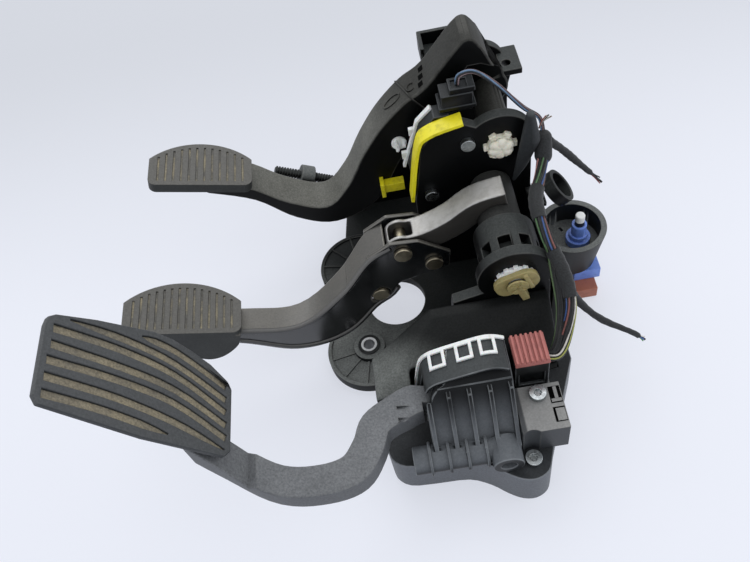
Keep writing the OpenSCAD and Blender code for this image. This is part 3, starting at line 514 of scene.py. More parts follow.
def cover(new, surface, skin, matt, pattern, strength, depth, more):
    """Gives a surface its colour, roughness, a pattern's relief with its depth in millimetres, and more."""
    relief = new("Bump", {"Height": pattern, "Strength": strength, "Distance": depth * MM})
    surface({"Base Color": skin, "Roughness": matt, "Normal": relief, **more})


def moulded(new, at, surface, base, film, lies, rough=0.5, edge="#7c7b76", shine=0.35, fade=None, speckle=0.3,
            rub=(0.02, 0.28)):
    """Moulded plastic: a dark body with specks of the mould's grain, a cloudy film where it faces up, and edges
    that are lightened. The film is dust and a painted sheen on most pieces, a painted highlight on the zinc
    sleeves and a painted shade on the platform; the edges are rubbed by handling, and on the housing's ribs also
    carry a painted highlight. lies is the normal's rise at which the film starts and is full; fade is a direction,
    the two distances along it, in millimetres, between which the film ends, and what is left, which paints shade
    on some pieces;
    speckle is how far the grain goes from the mean, and the last setting the least and most that an edge is
    lightened."""
    spot = at["Object"]
    rise = new("SeparateXYZ", (at["Normal"],), "Z")
    grain = noise(new, spot, sizes().grain, 3, 0.65)
    # clouds about 24 mm across, which make the film patchy and bite the edges
    cloud = noise(new, spot, 24 * MM, 5, 0.6)
    # the film on what faces up: dust and a painted sheen, or a painted shade on the platform
    up = new("MapRange", (rise, *lies), **SMOOTH)
    patchy = new("MapRange", (cloud, 0.3, 0.62, 0.72, 1))
    dust = new("Math", (up, patchy), **TIMES)
    # painted shade on some pieces: the film fades out along a direction
    if fade:
        way, start, end, share = fade
        along = new("VectorMath", (spot, way), "Value", operation="DOT_PRODUCT")
        left = new("MapRange", (along, start * MM, end * MM, 1, share), **SMOOTH)
        dust = new("Math", (dust, left), **TIMES)
    body = mix(new, dust, base, film)
    speck = new("MapRange", (grain, 0.3, 0.7, 1 - speckle, 1 + speckle))
    flecked = mix(new, 1, body, speck, blend_type="MULTIPLY")
    # lightened edges: wear, and on the housing's ribs also a painted highlight
    worn = new("Attribute", (), "Fac", attribute_name="worn")
    bitten = new("MapRange", (cloud, 0.35, 0.65, *rub))
    bare = new("Math", (worn, bitten), **TIMES)
    skin = mix(new, bare, flecked, edge)
    matt = new("MapRange", (dust, 0, 1, rough, max(rough + 0.16, 0.56)))
    cover(new, surface, skin, matt, grain, 0.35, 0.12, {"IOR": 1.52, "Specular IOR Level": shine})
    return skin


def treaded(new, at, surface, top, side, groove, rough, patchy):
    """Moulded rubber tread: a worn top, dark sides, and dry tan dirt that fills the grooves in patches.
    patchy is the value of the smears below which a groove has least dirt, and the share that it has there."""
    spot = at["Object"]
    rise = new("SeparateXYZ", (at["Normal"],), "Z")
    # crumbs of rubber and dirt about 1.3 mm apart, in smears of 18 mm
    crumb, smear = noise(new, spot, 1.3 * MM, 3, 0.7), noise(new, spot, 18 * MM, 4, 0.6)
    up = new("MapRange", (rise, 0.1, 0.5))
    body = mix(new, up, side, top)
    dirt = new("Attribute", (), "Fac", attribute_name="dirt")
    thick = new("MapRange", (smear, patchy[0], 0.62, patchy[1], 1))
    packed = new("Math", (dirt, thick), **TIMES)
    soiled = mix(new, packed, body, groove)
    grain = new("MapRange", (crumb, 0.3, 0.7, -1))
    amount = new("MapRange", (dirt, 0, 1, 0.24, 0.4))
    speck = new("Math", (grain, amount, 1), operation="MULTIPLY_ADD")
    skin = mix(new, 1, soiled, speck, blend_type="MULTIPLY")
    matt = new("MapRange", (smear, 0, 1, rough - 0.12, rough + 0.12))
    cover(new, surface, skin, matt, crumb, 0.4, 0.15, {"Specular IOR Level": 0.35})


def stained(new, at, base, soil, across, spread, detail, rough=0.5):
    """A colour with another in patches so many millimetres across, after the patches' own pattern.
    spread is the pattern's values where the patches start and are full, and their least and most share."""
    pattern = noise(new, at["Object"], across * MM, detail, rough)
    amount = new("MapRange", (pattern, *spread))
    return pattern, mix(new, amount, base, soil)


def metal(new, at, surface, base, stain, rough, streak=(0.5, 0.5, 0.5), share=1, under=None):
    """Steel with a drawn or turned surface: streaks across it, stains in patches, duller where stained.
    share is how metallic it is, under the colour of a painted shade on the sides that don't face up."""
    drawn = new("Mapping", {"Vector": at["Object"], "Scale": streak})
    lines = noise(new, drawn, MM, 3)
    skin = stained(new, at, base, stain, 9, (0.45, 0.75, 0, 0.8), 6, 0.65)[1]
    if under:
        rise = new("SeparateXYZ", (at["Normal"],), "Z")
        # painted shade: the steel darkens on the sides that don't face up
        clean = new("MapRange", (rise, 0.15, 0.75), **SMOOTH)
        skin = mix(new, clean, under, skin)
    matt = new("MapRange", (lines, 0.3, 0.7, rough - 0.08, rough + 0.1))
    cover(new, surface, skin, matt, lines, 0.25, 0.05, {"Metallic": share})


def plain_plastic(new, at, surface, base, soil, rough, glow=0):
    """Small unfilled moulding: clean colour with grime in patches and a faint orange-peel surface."""
    grime, skin = stained(new, at, base, soil, 5, (0.5, 0.78, 0, 0.55), 6, 0.62)
    # peel of about 1.5 mm
    peel = noise(new, at["Object"], 1.5 * MM)
    matt = new("MapRange", (grime, 0, 1, rough - 0.08, rough + 0.12))
    milky = {"Subsurface Weight": glow, "Subsurface Scale": 1.2 * MM}
    cover(new, surface, skin, matt, peel, 0.15, 0.08, milky)


def collared(new, at, surface, collar, **ring):
    """Moulded or plated rings of the four bulkhead studs, each in a collar of another colour."""
    inside = moulded(new, at, surface, **ring)
    low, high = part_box("bulkhead_bushes")
    head = (high[0] - low[0] - STUDS[0] * MM) / 2
    folded = new("VectorMath", (at["Object"],), operation="ABSOLUTE")
    axis = (STUDS[0] / 2 * MM, STUDS[1] / 2 * MM, 0)
    from_axis = new("VectorMath", (folded, axis), operation="SUBTRACT")
    flat = new("VectorMath", (from_axis, (1, 1, 0)), **TIMES)
    away = new("VectorMath", (flat,), "Value", operation="LENGTH")
    outside = new("Math", (away, 0.72 * head), operation="GREATER_THAN")
    surface({"Base Color": mix(new, outside, inside, collar)})


def tipped(new, at, surface, tip, **stem):
    """Plain plastic of the switch's plunger with a tip of another colour, 6 mm long."""
    plain_plastic(new, at, surface, **stem)
    height = new("SeparateXYZ", (at["Object"],), "Z")
    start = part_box("switch_plunger")[1][2] - 6 * MM
    above = new("Math", (height, start), operation="GREATER_THAN")
    surface({"Base Color": mix(new, above, stem["base"], tip)})


def insulation(new, at, surface, soil):
    """Vinyl that takes each wire's own colour, with grime in patches."""
    own = new("Attribute", (), "Color", attribute_name="skin")
    skin = stained(new, at, own, soil, 4, (0.5, 0.75, 0, 0.45), 4)[1]
    surface({"Base Color": skin, "Roughness": 0.38})


def woven(new, at, surface, hollow, thread):
    """Cloth tape: its weave of 0.5 mm is drawn at 1 mm so that it shows."""
    weave, skin = stained(new, at, hollow, thread, 1, (0.3, 0.7, 0, 1), 2)
    cover(new, surface, skin, 0.75, weave, 0.5, 0.2, {"Sheen Weight": 0.15})


# how far along X the pale film of dust and painted sheen on the sensor's lid starts; left of it the lid is darker
LID_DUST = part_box("accelerator_sensor")[0][0] / MM + 4

RECIPES = {
    moulded: dict(
        # glass-filled nylon, injection moulded: near black, satin, grey with dust and a painted sheen where it
        # faces up
        bracket_nylon=dict(base="bracket", film="bracket_film", lies=(0.1, 0.8)),
        # the same nylon on the flange: dust and a painted sheen, and a painted shade that takes them away towards
        # the back right, behind the boss
        flange_nylon=dict(base="bracket", film="#828582", lies=(0.1, 0.8), shine=0.14,
                          fade=((0.7, 0.8, 0), -50, 14, 0.06)),
        # the same nylon on the sloping flank: dust and a painted sheen at its front left, and a painted shade that
        # leaves it near black towards the back right, under the module and the boss
        flank_nylon=dict(base="#090b0c", film="#727572", lies=(0, 0.7), shine=0.12,
                         fade=((0.5, 1, 0), -102, -64, 0.06)),
        # the same nylon on the platform: a pale grey front, and a painted shade that darkens its top
        platform_nylon=dict(base="#53575c", film="#1d2022", rough=0.45, lies=(0.3, 0.85), edge="#8b8f93",
                            rub=(0.3, 0.8)),
        # the same nylon on the upright walls: deep black with little dust and painted sheen on their tops
        wall_nylon=dict(base="#060708", film="#3c3f3e", rough=0.44, lies=(0.3, 0.9), shine=0.18),
        # painted shade: near-black nylon that stands in for the shade at the bottom of narrow notches and pockets,
        # where no light gets in
        shadow_nylon=dict(base="#020202", film="#050505", rough=0.7, lies=(0.5, 1), edge="#050505", shine=0.04),
        # glass-filled nylon of the clutch arm: a brown-grey matt top of dust and a painted sheen, less of it
        # towards +X, over deep black sides
        clutch_arm_nylon=dict(base="arm", film="arm_film", lies=(0.1, 0.5), shine=0.14,
                              fade=((1, 0, 0), -14, 40, 0.26)),
        # the same on the accelerator arm: the pale film of dust and painted sheen covers its sides too
        accelerator_arm_nylon=dict(base="#34373a", film="#6c6e70", rough=0.44, lies=(-0.6, 0.6)),
        # moulded polyester of the lid and its plug: smoother and blacker than the bracket
        module_polyester=dict(base="#101213", film="#383c3d", rough=0.4, lies=(0.1, 0.8), edge="#8a8e90",
                              rub=(0.15, 0.6)),
        # the same polyester on the ribbed housing: dust and a painted sheen at the foot of its bays, a painted
        # shade that leaves them black under the lid, and a painted highlight besides wear on its rib edges
        housing_polyester=dict(base="#050607", film="#6a6e72", rough=0.4, lies=(-0.2, 0.7), edge="#8a8e90",
                               shine=0.12, fade=((0, 0, 1), 58, 84, 0.06), speckle=0.12, rub=(0.15, 0.6)),
        # the same polyester on the clutch sensor and its plug, which stay clean and black
        plug_polyester=dict(base="#060708", film="#2b2e30", rough=0.36, lies=(0.2, 0.9), edge="#5f6264",
                            shine=0.24, rub=(0.08, 0.4)),
        # the same polyester on the flat lid of the sensor, pale with dust and a painted sheen, darker at its left
        # end
        sensor_polyester=dict(base="#303336", film="#8b8b89", lies=(0.4, 0.9), speckle=0.13,
                              fade=((-1, 0, 0), -LID_DUST, 1.5 - LID_DUST, 0.06)),
        # cathodic dip paint on pressed steel: black and glossy on its sides, dust and a painted sheen on top, less
        # of it towards +X
        brake_arm_paint=dict(base="paint", film="#5a574f", rough=0.22, lies=(0.3, 0.8), edge="#8a877e",
                             shine=0.9, fade=((1, 0, 0), -80, -44, 0.6), speckle=0.25, rub=(0.1, 0.5)),
        # the same paint on the rolled edges, which stay clean and shiny
        rolled_edge_paint=dict(base="#17181a", film="#4b4a48", rough=0.2, lies=(0.2, 0.9), shine=0.9,
                               speckle=0.15),
        # turned steel of the hubs, dull with grey dust
        hub_steel=dict(base="#151615", film="#2f302e", lies=(0, 0.8)),
        # moulded acetal of the pivot bushes: dull dark grey
        bush_acetal=dict(base="#2c2d2c", film="#545551", rough=0.45, lies=(0, 0.8)),
        # soft rubber grommet leaf: dark, matt, slightly blue
        flap_rubber=dict(base="#1d2022", film="#474b4d", rough=0.6, lies=(-0.2, 0.9)),
    ),
    collared: dict(
        # bright zinc on the sleeves of the bulkhead holes, with a painted highlight on their tops and a painted
        # shade on their sides inside the holes, each in a collar of dark nylon
        bush_zinc=dict(base="#55585a", film="#f2f3f2", rough=0.3, lies=(0.3, 0.7), shine=0.6, speckle=0.1,
                       collar="#1a1c1c"),
    ),
    treaded: dict(
        # nitrile rubber of the brake and clutch pads: grey with wear, brown dirt between the ribs
        pad_rubber=dict(top="rubber", side="#2e302f", groove="groove", rough=0.66, patchy=(0.42, 0.06)),
        # thermoplastic elastomer of the accelerator pad: blue-grey ridges over tan dirt
        accelerator_tread=dict(top="tread", side="#26292b", groove="#8a816c", rough=0.5, patchy=(0.32, 0.5)),
    ),
    metal: dict(
        # forged and shot-blasted steel of the lever, bare: pale grey, satin, with brown-grey handling stains,
        # and a painted shade on its sides and underside
        lever_steel=dict(base="steel", stain="#8d8a85", rough=0.46, streak=(0.12, 0.6, 0.6), share=0.7,
                         under="#5b5955"),
        # zinc-plated steel of pins and screws: pale and slightly blue
        plated_steel=dict(base="#b7bdbf", stain="#85857f", rough=0.3),
        # upset steel of the rivets: brown-grey, dull
        rivet_steel=dict(base="#b9b099", stain="#6d6557", rough=0.38),
    ),
    plain_plastic: dict(
        # moulded acetal: strong yellow, smooth, slightly grimed
        yellow_acetal=dict(base="yellow", soil="#8d8526", rough=0.42),
        # unfilled nylon: milky white, lets a little light in
        white_nylon=dict(base="#eceeec", soil="#a9a79d", rough=0.45, glow=0.1),
        # natural nylon that has yellowed with age: cream with brown grime
        cream_nylon=dict(base="#a39765", soil="#5d5434", rough=0.5, glow=0.1),
        # natural nylon that is still pale: off-white with yellow grime
        pale_nylon=dict(base="#ebe7d6", soil="#b3a776", rough=0.45, glow=0.1),
        # moulded polyester of the switch body: mid blue
        blue_polyester=dict(base="blue", soil="#33487c", rough=0.4),
        # moulded polyester of the switch's plug: red-brown
        brown_polyester=dict(base="#a8664f", soil="#6a4538", rough=0.45),
        # moulded polyester of the accelerator plug's cap: dusty maroon
        maroon_polyester=dict(base="maroon", soil="#6d4440", rough=0.5),
    ),
    tipped: dict(
        # moulded acetal of the switch's plunger: a black stem with a milky white tip
        plunger_acetal=dict(base="#141516", soil="#1d1e1f", rough=0.4, tip="#eceeec"),
    ),
    # vinyl skin of the wires, each wire in its own colour, smooth with a soft gloss
    insulation: dict(wire_skin=dict(soil="#3a3834")),
    # woven cloth tape, wound round the wires: black, matt, with a fuzzy weave
    woven: dict(loom_tape=dict(hollow="#0a0b0c", thread="#25282a")),
}
FINISHES = {}


def finish(name):
    """The finish of a name: made when a piece first asks for it, then handed out again."""
    if name not in FINISHES:
        FINISHES[name], *nodes = blank(name)
        maker = next(maker for maker, named in RECIPES.items() if name in named)
        maker(*nodes, **RECIPES[maker][name])
    return FINISHES[name]


# ---- operators


class BuildStage(bpy.types.Operator):
    """Camera, soft lights and pale floor."""

    bl_idname = "pedal_box.stage"
    bl_label = "Stage"

    def floor(self):
        """Pale paper under the part, with a painted shade that darkens it far behind the part, and a painted glow.
        """
        material, new, at, surface = blank("floor_paper")
        behind = new("SeparateXYZ", (at["Object"],), "Y")
        # painted shade: the paper darkens towards the back
        far = new("MapRange", (behind, -0.05, 0.45), **SMOOTH)
        paper = mix(new, far, "floor", "#cfd2d9")
        surface({"Base Color": paper, "Roughness": 0.9, "Specular IOR Level": 0.1})
        # painted light: the paper glows with its own colour, more than half of what the camera and mirrors see,
        # so that shadows on it stay as faint as under a light tent
        ray = new("LightPath", out=None).outputs
        seen = new("Math", (ray["Is Camera Ray"], ray["Is Glossy Ray"]), operation="MAXIMUM")
        seen = new("Math", (seen, ray["Is Transmission Ray"]), operation="MAXIMUM")
        half = new("Math", (seen, 0.62), **TIMES)
        lit = new("Emission", {"Color": paper, "Strength": 1.05})
        tree = material.node_tree
        both = new("MixShader", (half, tree.nodes["Principled BSDF"].outputs[0], lit))
        feed(tree, tree.nodes["Material Output"], {"Surface": both})
        mesh = bpy.data.meshes.new("floor")
        z, half_side = CAD_BOX[0][2] - 0.4 * MM, 3
        corners = [(x * half_side, y * half_side, z) for x, y in ((-1, -1), (1, -1), (1, 1), (-1, 1))]
        mesh.from_pydata(corners, [], [(0, 1, 2, 3)])
        mesh.materials.append(material)
        placed("floor", mesh)

    def execute(self, context):
        scene = context.scene
        scene.view_settings.view_transform = "Standard"
        camera = bpy.data.cameras.new("photo_camera")
        camera.sensor_width, camera.lens = 36.0, 36.2476
        camera.clip_start, camera.clip_end = 0.01, 20
        eye = placed("photo_camera", camera)
        right, up, back = (0.98309, -0.11204, -0.14487), (0.17533, 0.80435, 0.56769), (0.05293, -0.58349, 0.81039)
        turn = Matrix((right, up, back)).transposed()
        eye.matrix_world = Matrix.Translation((0.01743, -0.33854, 0.50901)) @ turn.to_4x4()
        scene.camera = eye
        scene.world = bpy.data.worlds.new("studio")
        scene.world.use_nodes = True
        tree = scene.world.node_tree
        tree.nodes.clear()
        sky = add(tree, "Background", {"Color": linear("#f4f6fb"), "Strength": 0.86})
        add(tree, "OutputWorld", {"Surface": sky}, None)
        for name, place, side, power in (("back_softbox", (-0.1, 0.85, 1.25), 1.1, 7.0),
                                         ("right_softbox", (1.1, -0.3, 1.1), 0.8, 2.5)):
            lamp = bpy.data.lights.new(name, "AREA")
            lamp.shape, lamp.size, lamp.energy = "SQUARE", side, power
            aim = Vector(place).to_track_quat("Z", "Y").to_matrix().to_4x4()
            placed(name, lamp).matrix_world = Matrix.Translation(place) @ aim
        self.floor()
        return {"FINISHED"}


class BuildWiring(bpy.types.Operator):
    """Cut loom tails, the wires between sensors, their taped joint and the rubber leaf."""

    bl_idname = "pedal_box.wiring"
    bl_label = "Wiring"

    # routes in millimetres
    joint_a, joint_b = (119, 24, 134), (118, 18, 124)
    upper = [(66, 44, 177), (68, 44, 184), (78, 43, 185), (92, 41, 172), (108, 37, 153), (118, 31, 146), joint_a]
    down = [joint_b, (112, 2, 122), (104, -20, 122), (105, -45, 116)]
    lower = down + [(111, -66, 104), (112, -84, 92), (106, -98, 80), (99, -107, 74), (90.5, -107, 74)]
    inner = down + [(106, -62, 104), (106, -81, 92), (102.5, -95, 82), (97, -105, 76), (90.5, -107, 74)]
    upper_tail = [(124, 26, 128), (134, 27, 116), (148, 26, 98), (164, 24, 78)]
    lower_tail = [(111, -66, 101), (120, -69, 76), (136, -76, 56), (158, -82, 40), (168, -84, 30)]
    upper_codes = ["#6b5556", "#66809c", "#1b1c1e", "#8d787a", "#2a2b2d"]
    cut_codes = ["#9c5b52", "#c3b7ae", "#4c4f45", "#dcd9d2", "#8f7f6c"]
    lower_codes = ["#314f86", "#141516", "#4d7048", "#121314", "#c48a88",
                   "#101112", "#9da04c", "#cbc7bf", "#131415", "#7c4a44"]
    inner_codes = ["#141516", "#4d653f", "#101112", "#131415", "#a39d52", "#17181a", "#121314"]

    def lap(self, run, angle):
        """How far through a turn the tape is at a place on its tube, from 0 to 1."""
        return (run / sizes().tape + angle / TURN) % 1

    def tail(self, name, route, codes):
        """A taped stub of loom whose wires end in a cut brush."""
        line = spline(route)
        run = sum((b - a).length for a, b in zip(line, line[1:]))
        # the tape ends five steps before the wires do
        mouth, way = line[-6], (line[-1] - line[-5]).normalized()
        bare = (line[-1] - mouth).length
        wrap = lambda s, a: MM * (0.8 if s > run - bare else (3.4 - 1.5 * s / run) * (
            1 - 0.14 * self.lap(s, a) + 0.06 * sin(2 * a + 210 * s)))
        cord = tube(name + "_taped", line, wrap, "loom_tape")
        ends = []
        for k in range(len(codes)):
            turn = 2.4 * k
            side = Vector((cos(turn), sin(turn), 0)).cross(way)
            reach = bare * (0.72 + 0.28 * sin(1.7 * k) ** 2) - 0.8 * MM
            ends.append([mouth - way * 3 * MM + side * 0.7 * MM, mouth + way * reach * 0.5 + side * 0.9 * MM,
                         mouth + way * reach + side * 1.8 * MM])
        brush = wires(name + "_cut_wires", ends, codes, sizes().wire * 0.75)
        joined(cord, "bracket", "loom_tape", name)
        joined(brush, "bracket", "wire_skin")
        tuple(line[0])

    def execute(self, context):
        self.tail("upper_tail_cord", self.upper_tail, ["#1c1d1e", "#8d3f3a", "#232425", "#caa53c", "#202122"])
        self.tail("lower_tail_cord", self.lower_tail, ["#1c1d1e", "#4f8f57", "#d7d5cf", "#b9737c", "#3a5fa8"])
        wire = sizes().wire
        upper, lower, inner = spline(self.upper), spline(self.lower), spline(self.inner)
        lines = [beside(upper, 1.1 * MM, 1.26 * k, 30, 0.15) for k in range(5)]
        joined(wires("loom_upper_wires", lines, self.upper_codes, wire), "bracket", "wire_skin", "loom_upper_run")
        lines = [spline([(117, 28, 140), (118 + 0.3 * k, 26.5, 147),
                         (120.5 + 0.8 * k, 25.5 - 0.5 * k, 152.5 + 0.7 * (k % 3))]) for k in range(5)]
        joined(wires("cut_wires", lines, self.cut_codes, wire * 0.8), "bracket", "wire_skin")
        swell = lambda s, a: 3.3 * MM + 0.35 * MM * sin(2 * a + 90 * s)
        joined(tube("loom_lower_core", lower, swell, "loom_tape", 14), "bracket", "loom_tape", "loom_lower_run")
        joined(tube("loom_inner_core", inner, lambda s, a: 2.5 * MM, "loom_tape", 12), "bracket", "loom_tape")
        lines = [beside(lower, 3.5 * MM, 0.628 * k, 24, 0.1) for k in range(10)]
        lines += [beside(inner, 2.7 * MM, 0.9 * k, 20, 0.1) for k in range(7)]
        joined(wires("loom_lower_wires", lines, self.lower_codes + self.inner_codes, wire), "bracket", "wire_skin")
        # two wraps of tape hold the wires together on their way down
        wrap = lambda s, a: MM * (5.1 - 0.7 * self.lap(s, a))
        for name, first, last in (("loom_upper_wrap", 12, 21), ("loom_lower_wrap", 27, 39)):
            joined(tube(name, lower[first:last], wrap, "loom_tape"), "bracket", "loom_tape")
        dress(loom_tape=dict(loom_joint=0), flap_rubber=dict(loom_flap=0))
        return {"FINISHED"}


class BuildBracket(bpy.types.Operator):
    """Moulded bracket with its cup, guide, stop stud, bushes, bolts and pivot pins."""

    bl_idname = "pedal_box.bracket"
    bl_label = "Bracket"

    walls = {"bracket": "flange_nylon", "bracket_flank": "flank_nylon", "bracket_platform": "platform_nylon",
             "bracket_near_wall": "wall_nylon", "bracket_middle_wall": "wall_nylon",
             "bracket_far_wall": "wall_nylon", "bracket_rear_wall": "wall_nylon"}

    def seams(self, node):
        """A test that is false on the seams, where a piece of the one moulding meets the next."""
        bm = bmesh.new()
        for other in self.walls:
            if other != node:
                bm.from_mesh(NODES[other].data)
        rest = BVHTree.FromBMesh(bm)
        bm.free()
        return lambda spot: rest.find_nearest(spot)[3] > 0.1 * MM

    def end_of(self, pin, clip):
        """Where a pivot's retainer lies: the middle of its first solid, at the nearer face of the two."""
        low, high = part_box(pin)
        return Vector(((low[0] + high[0]) / 2, min(low[1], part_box(clip)[0][1]), (low[2] + high[2]) / 2))

    def crossed_cap(self):
        """Thin crossed cap of the brake pivot's retainer, over the end of its pin."""
        spot = self.end_of("brake_pivot_pin", "brake_pivot_clip") - Vector((0, 0.5 * MM, 0))
        bm = bmesh.new()
        turned = Matrix.Translation(spot) @ Matrix.Rotation(radians(90), 4, "X")
        bmesh.ops.create_cone(bm, cap_ends=True, segments=40, radius1=7.2 * MM, radius2=6.8 * MM, depth=1 * MM,
                              matrix=turned)
        for angle in (35, 125):
            place = Matrix.Translation(spot + Vector((0, -0.6 * MM, 0)))
            block(bm, place @ Matrix.Rotation(radians(angle), 4, "Y"), 11, 1.2, 2.4)
        joined(shaped(bm, "brake_retainer_cap", "cream_nylon"), "bracket", "cream_plastic")

    def petals(self):
        """Snapped petals of the clutch pivot's retainer, which close over the end of its pin."""
        middle = self.end_of("clutch_pivot_clip", "clutch_pivot_pin")
        rings, sides, widest, tallest = 9, 48, 9.6 * MM, 3.2 * MM
        bm = bmesh.new()
        rows = []
        for i in range(1, rings + 1):
            share, row = i / rings, []
            for k in range(sides):
                a = TURN * k / sides
                fold = abs(sin(3 * a + 0.4))
                reach = widest * share * (0.78 + 0.22 * fold ** 0.6 if share > 0.4 else 1)
                rise = tallest * (1 - share ** 4) * (0.72 + 0.28 * fold * share + 0.1 * cos(a))
                row.append(bm.verts.new(middle + Vector((reach * cos(a), -rise, reach * sin(a)))))
            rows.append(row)
        tip = bm.verts.new(middle + Vector((0, -1.4 * MM, 0)))
        for k in range(sides):
            after = (k + 1) % sides
            bm.faces.new((tip, rows[0][k], rows[0][after]))
            for a, b in zip(rows, rows[1:]):
                bm.faces.new((a[k], b[k], b[after], a[after]))
        bm.faces.new(rows[-1][::-1])
        bmesh.ops.recalc_face_normals(bm, faces=bm.faces)
        joined(shaped(bm, "clutch_retainer_petals", "pale_nylon", 180), "bracket", "cream_plastic")

    def execute(self, context):
        for node, coat in self.walls.items():
            if node == "bracket_flank":
                softened(node, coat, 1.1, 14, self.seams(node))
            else:
                dressed(node, coat, part=self.seams(node))
        dress(bracket_nylon=dict(switch_cup=0.6, clutch_stop_disc=0.8),
              wall_nylon=dict(cable_guide=0.5, clutch_stop_stud=0.2), bush_zinc=dict(bulkhead_bushes=0.4),
              plated_steel=dict(wall_bolts=0.4, brake_pivot_pin=0.4, clutch_pivot_pin=0.4),
              white_nylon=dict(brake_pivot_washer=0.3), cream_nylon=dict(brake_pivot_clip=0.6),
              pale_nylon=dict(clutch_pivot_clip=0.6))
        self.petals()
        self.crossed_cap()
        return {"FINISHED"}


class BuildBrakePedal(bpy.types.Operator):
    """Brake arm, its pad, the bare lever, pins and hub."""

    bl_idname = "pedal_box.brake_pedal"
    bl_label = "Brake pedal"

    # side lines of the arm in millimetres
    top = [(-152, 86), (-108, 77), (-68, 65), (-36, 74), (-16, 83), (4, 92)]
    low = [(-148, 77), (-110, 64), (-76, 40), (-42, 28), (-6, 32), (8, 50)]
    near = [(-152, -50), (-100, -50), (-68, -46), (-36, -33), (-14, -16), (4, -13)]

    def beads(self):
        """Rolled edges of the pressed channel on its near side."""
        side = profile(self.near)
        lines = []
        for edge, inset in ((self.top, -1.2), (self.low, 1.4)):
            edge = profile(edge)
            lines.append([Vector((x, read_off(side, x) + 0.5, read_off(edge, x) + inset)) * MM
                          for x in range(-112, 5, 4)])
        beads = wires("brake_arm_beads", lines, ["#17181a"] * 2, 2.2 * MM, "rolled_edge_paint")
        joined(beads, "brake_pedal", "arm_paint")

    def execute(self, context):
        self.beads()
        dressed("brake_arm", "brake_arm_paint", 1.4)
        dressed("brake_pad", "pad_rubber", 0.3, grooved=True)
        softened("brake_lever", "lever_steel", 0.6, 14)
        dress(rivet_steel=dict(brake_lever_pin=0.7, brake_rivets=0.7), hub_steel=dict(brake_hub=0.8),
              bush_acetal=dict(brake_bushes=0.3))
        return {"FINISHED"}


class BuildClutchPedal(bpy.types.Operator):
    """Clutch arm, its pad, hub, push rod pin and clip."""

    bl_idname = "pedal_box.clutch_pedal"
    bl_label = "Clutch pedal"

    # upper side line of the arm in millimetres
    top = [(-128, 115), (-95, 106), (-69, 83), (-41, 69), (-21, 87), (-5, 115), (11, 138), (30, 157), (47, 168.5),
           (74, 199), (86, 191)]

    def marks(self):
        """Moulded marks on the arm's broad side: an oval ring, an open ring, a rib across, and three notches drawn
        as near-black blocks of painted shade.
        """
        edge = profile(self.top)
        on = lambda x, y, lift=0.2: Vector((x - 0.6 * lift, y, read_off(edge, x) + 0.8 * lift)) * MM
        turns = [TURN * k / 24 for k in range(25)]
        oval = [on(23 + 6 * cos(a) - 0.6 * sin(a), 69.5 - 1.6 * cos(a) - 3.4 * sin(a)) for a in turns]
        open_ring = [on(37 + 2.6 * cos(a), 67.5 + 3.4 * sin(a)) for a in turns[3:22]]
        rib = [on(28 + 8 * t, 83.5 - 26 * t, 0.4) for t in (0, 0.2, 0.4, 0.6, 0.8, 1.0)]
        rib += [on(36, 57, lift) + Vector((0, -0.3 * MM, 0)) for lift in (-4, -24)]
        marks = wires("clutch_arm_marks", [oval, open_ring, rib], ["#030404"] * 3, 0.7 * MM, "clutch_arm_nylon")
        joined(marks, "clutch_pedal", "arm_plastic")
        # the notches: thin near-black blocks whose colour is painted shade
        bm = bmesh.new()
        for x, y in ((46, 77), (45, 70), (44, 63.5)):
            slope = atan2(read_off(edge, x + 2) - read_off(edge, x - 2), 4)
            block(bm, Matrix.Translation(on(x, y, 0)) @ Matrix.Rotation(-slope, 4, "Y"), 4, 4.4, 0.6)
        joined(shaped(bm, "clutch_arm_notches", "shadow_nylon"), "clutch_pedal", "arm_plastic")

    def execute(self, context):
        self.marks()
        dressed("clutch_arm", "clutch_arm_nylon", 1.6)
        dressed("clutch_pad", "pad_rubber", 0.3, grooved=True)
        dress(hub_steel=dict(clutch_hub_sleeve=0.5), bush_acetal=dict(clutch_bushes=0.3),
              white_nylon=dict(pushrod_pin=0.3), yellow_acetal=dict(pushrod_clip=0.4))
        return {"FINISHED"}


class BuildAcceleratorPedal(bpy.types.Operator):
    """Accelerator arm and its ridged pad."""

    bl_idname = "pedal_box.accelerator_pedal"
    bl_label = "Accelerator pedal"

    def execute(self, context):
        outside_housing = lambda spot: spot.x < -16 * MM
        dressed("accelerator_arm", "accelerator_arm_nylon", 0.6, wide=(1.8, outside_housing, 45))
        dressed("accelerator_pad", "accelerator_tread", 0.7, grooved=True)
        return {"FINISHED"}


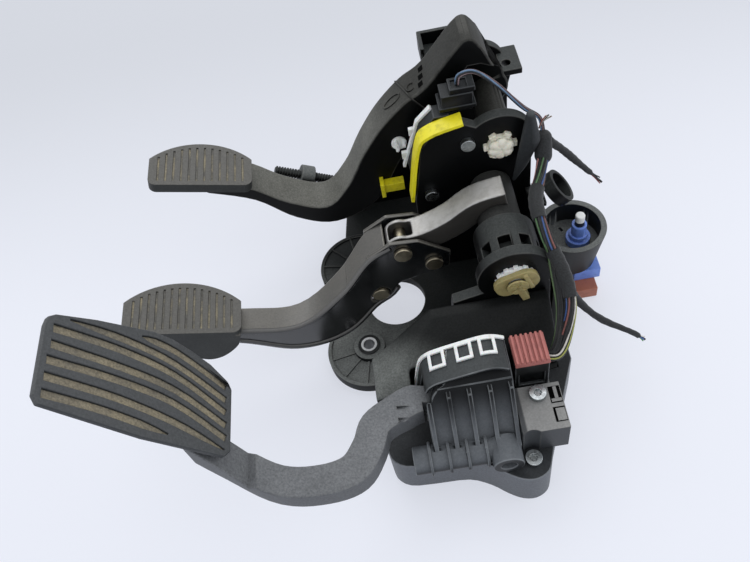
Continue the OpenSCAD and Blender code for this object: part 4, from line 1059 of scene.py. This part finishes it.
class BuildAcceleratorModule(bpy.types.Operator):
    """Accelerator housing with its lid, strip, sensor, plug, screws, pin and spring."""

    bl_idname = "pedal_box.accelerator_module"
    bl_label = "Accelerator module"

    # opposite corners of the clips on the sensor's lid, in millimetres
    pockets = (((88, -135.6), (95.4, -124)), ((88, -148.4), (95.4, -138.4)))
    tongues = (((91, -133), (93.2, -124.6)), ((88.6, -135), (95, -132.8)), ((89.4, -148), (95, -139.6)))

    def clips(self):
        """Snap clips on the sensor's right end: pockets drawn as thin near-black plates of painted shade, with a
        tongue in each.
        """
        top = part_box("accelerator_sensor")[1][2]
        # the pockets are near-black plates of painted shade; the tongues stand on them
        for name, spans, rise, coat in (("sensor_clip_pockets", self.pockets, 0.12, "shadow_nylon"),
                                        ("sensor_clips", self.tongues, 0.7, "sensor_polyester")):
            bm = bmesh.new()
            for (x0, y0), (x1, y1) in spans:
                middle = Vector(((x0 + x1) / 2 * MM, (y0 + y1) / 2 * MM, top))
                block(bm, Matrix.Translation(middle), x1 - x0, y1 - y0, 2 * rise)
            joined(shaped(bm, name, coat), "bracket", "module_plastic")

    def execute(self, context):
        dress(housing_polyester=dict(accelerator_housing=0.7),
              module_polyester=dict(accelerator_cover=0.7, accelerator_plug=0.7))
        self.clips()
        dress(sensor_polyester=dict(accelerator_sensor=0.9), maroon_polyester=dict(accelerator_plug_cap=0.5),
              white_nylon=dict(cover_strip=0.4),
              plated_steel=dict(accelerator_screws=0.3, accelerator_pivot_pin=0.3))
        spring = coil("accelerator_coil", 4.0, 9, 8.6, 0.9, "plated_steel")
        hinge = Matrix.Translation((36 * MM, -102.4 * MM, 57 * MM))
        spring.data.transform(hinge @ Matrix.Rotation(radians(90), 4, "X"))
        joined(spring, "bracket", "plated_steel", "accelerator_spring")
        return {"FINISHED"}


class BuildClutchSensor(bpy.types.Operator):
    """Clutch sensor with its pale strip, connector and yellow leaf."""

    bl_idname = "pedal_box.clutch_sensor"
    bl_label = "Clutch sensor"

    def execute(self, context):
        dress(plug_polyester=dict(clutch_sensor=0.6, clutch_connector=0.6),
              white_nylon=dict(clutch_sensor_strip=0.3), yellow_acetal=dict(sensor_leaf=0.4))
        return {"FINISHED"}


class BuildStopSwitch(bpy.types.Operator):
    """Stop lamp switch: body, plunger and plug."""

    bl_idname = "pedal_box.stop_switch"
    bl_label = "Stop lamp switch"

    def execute(self, context):
        dress(blue_polyester=dict(switch_body=0.4), plunger_acetal=dict(switch_plunger=0.9),
              brown_polyester=dict(switch_connector=0.6))
        return {"FINISHED"}


BUILDERS = (BuildStage, BuildWiring, BuildBracket, BuildBrakePedal, BuildClutchPedal, BuildAcceleratorPedal,
            BuildAcceleratorModule, BuildClutchSensor, BuildStopSwitch)


class PedalBoxPanel(bpy.types.Panel):
    """Lists the steps that dress the pedal box, and what can be changed."""

    bl_idname = "VIEW3D_PT_pedal_box"
    bl_label = "Pedal box"
    bl_space_type = "VIEW_3D"
    bl_region_type = "UI"
    bl_category = "Pedal box"

    def draw(self, context):
        for builder in BUILDERS:
            self.layout.operator(builder.bl_idname)
        for group in (colours(), sizes()):
            for key in group.bl_rna.properties.keys():
                if key not in ("rna_type", "name"):
                    self.layout.prop(group, key)


CLASSES = (PedalBoxColours, PedalBoxSizes, *BUILDERS, PedalBoxPanel)


def register():
    """Registers the classes and the scene's settings."""
    for cls in CLASSES:
        bpy.utils.register_class(cls)
    bpy.types.Scene.pedal_box_colours = PointerProperty(type=PedalBoxColours)
    bpy.types.Scene.pedal_box_sizes = PointerProperty(type=PedalBoxSizes)


def unregister():
    """Takes the settings and the classes out again."""
    del bpy.types.Scene.pedal_box_sizes
    del bpy.types.Scene.pedal_box_colours
    for cls in reversed(CLASSES):
        bpy.utils.unregister_class(cls)


def main():
    """Builds every piece in order."""
    register()
    for builder in BUILDERS:
        getattr(bpy.ops.pedal_box, builder.bl_idname.split(".")[1])()


if __name__ == "__main__":
    main()
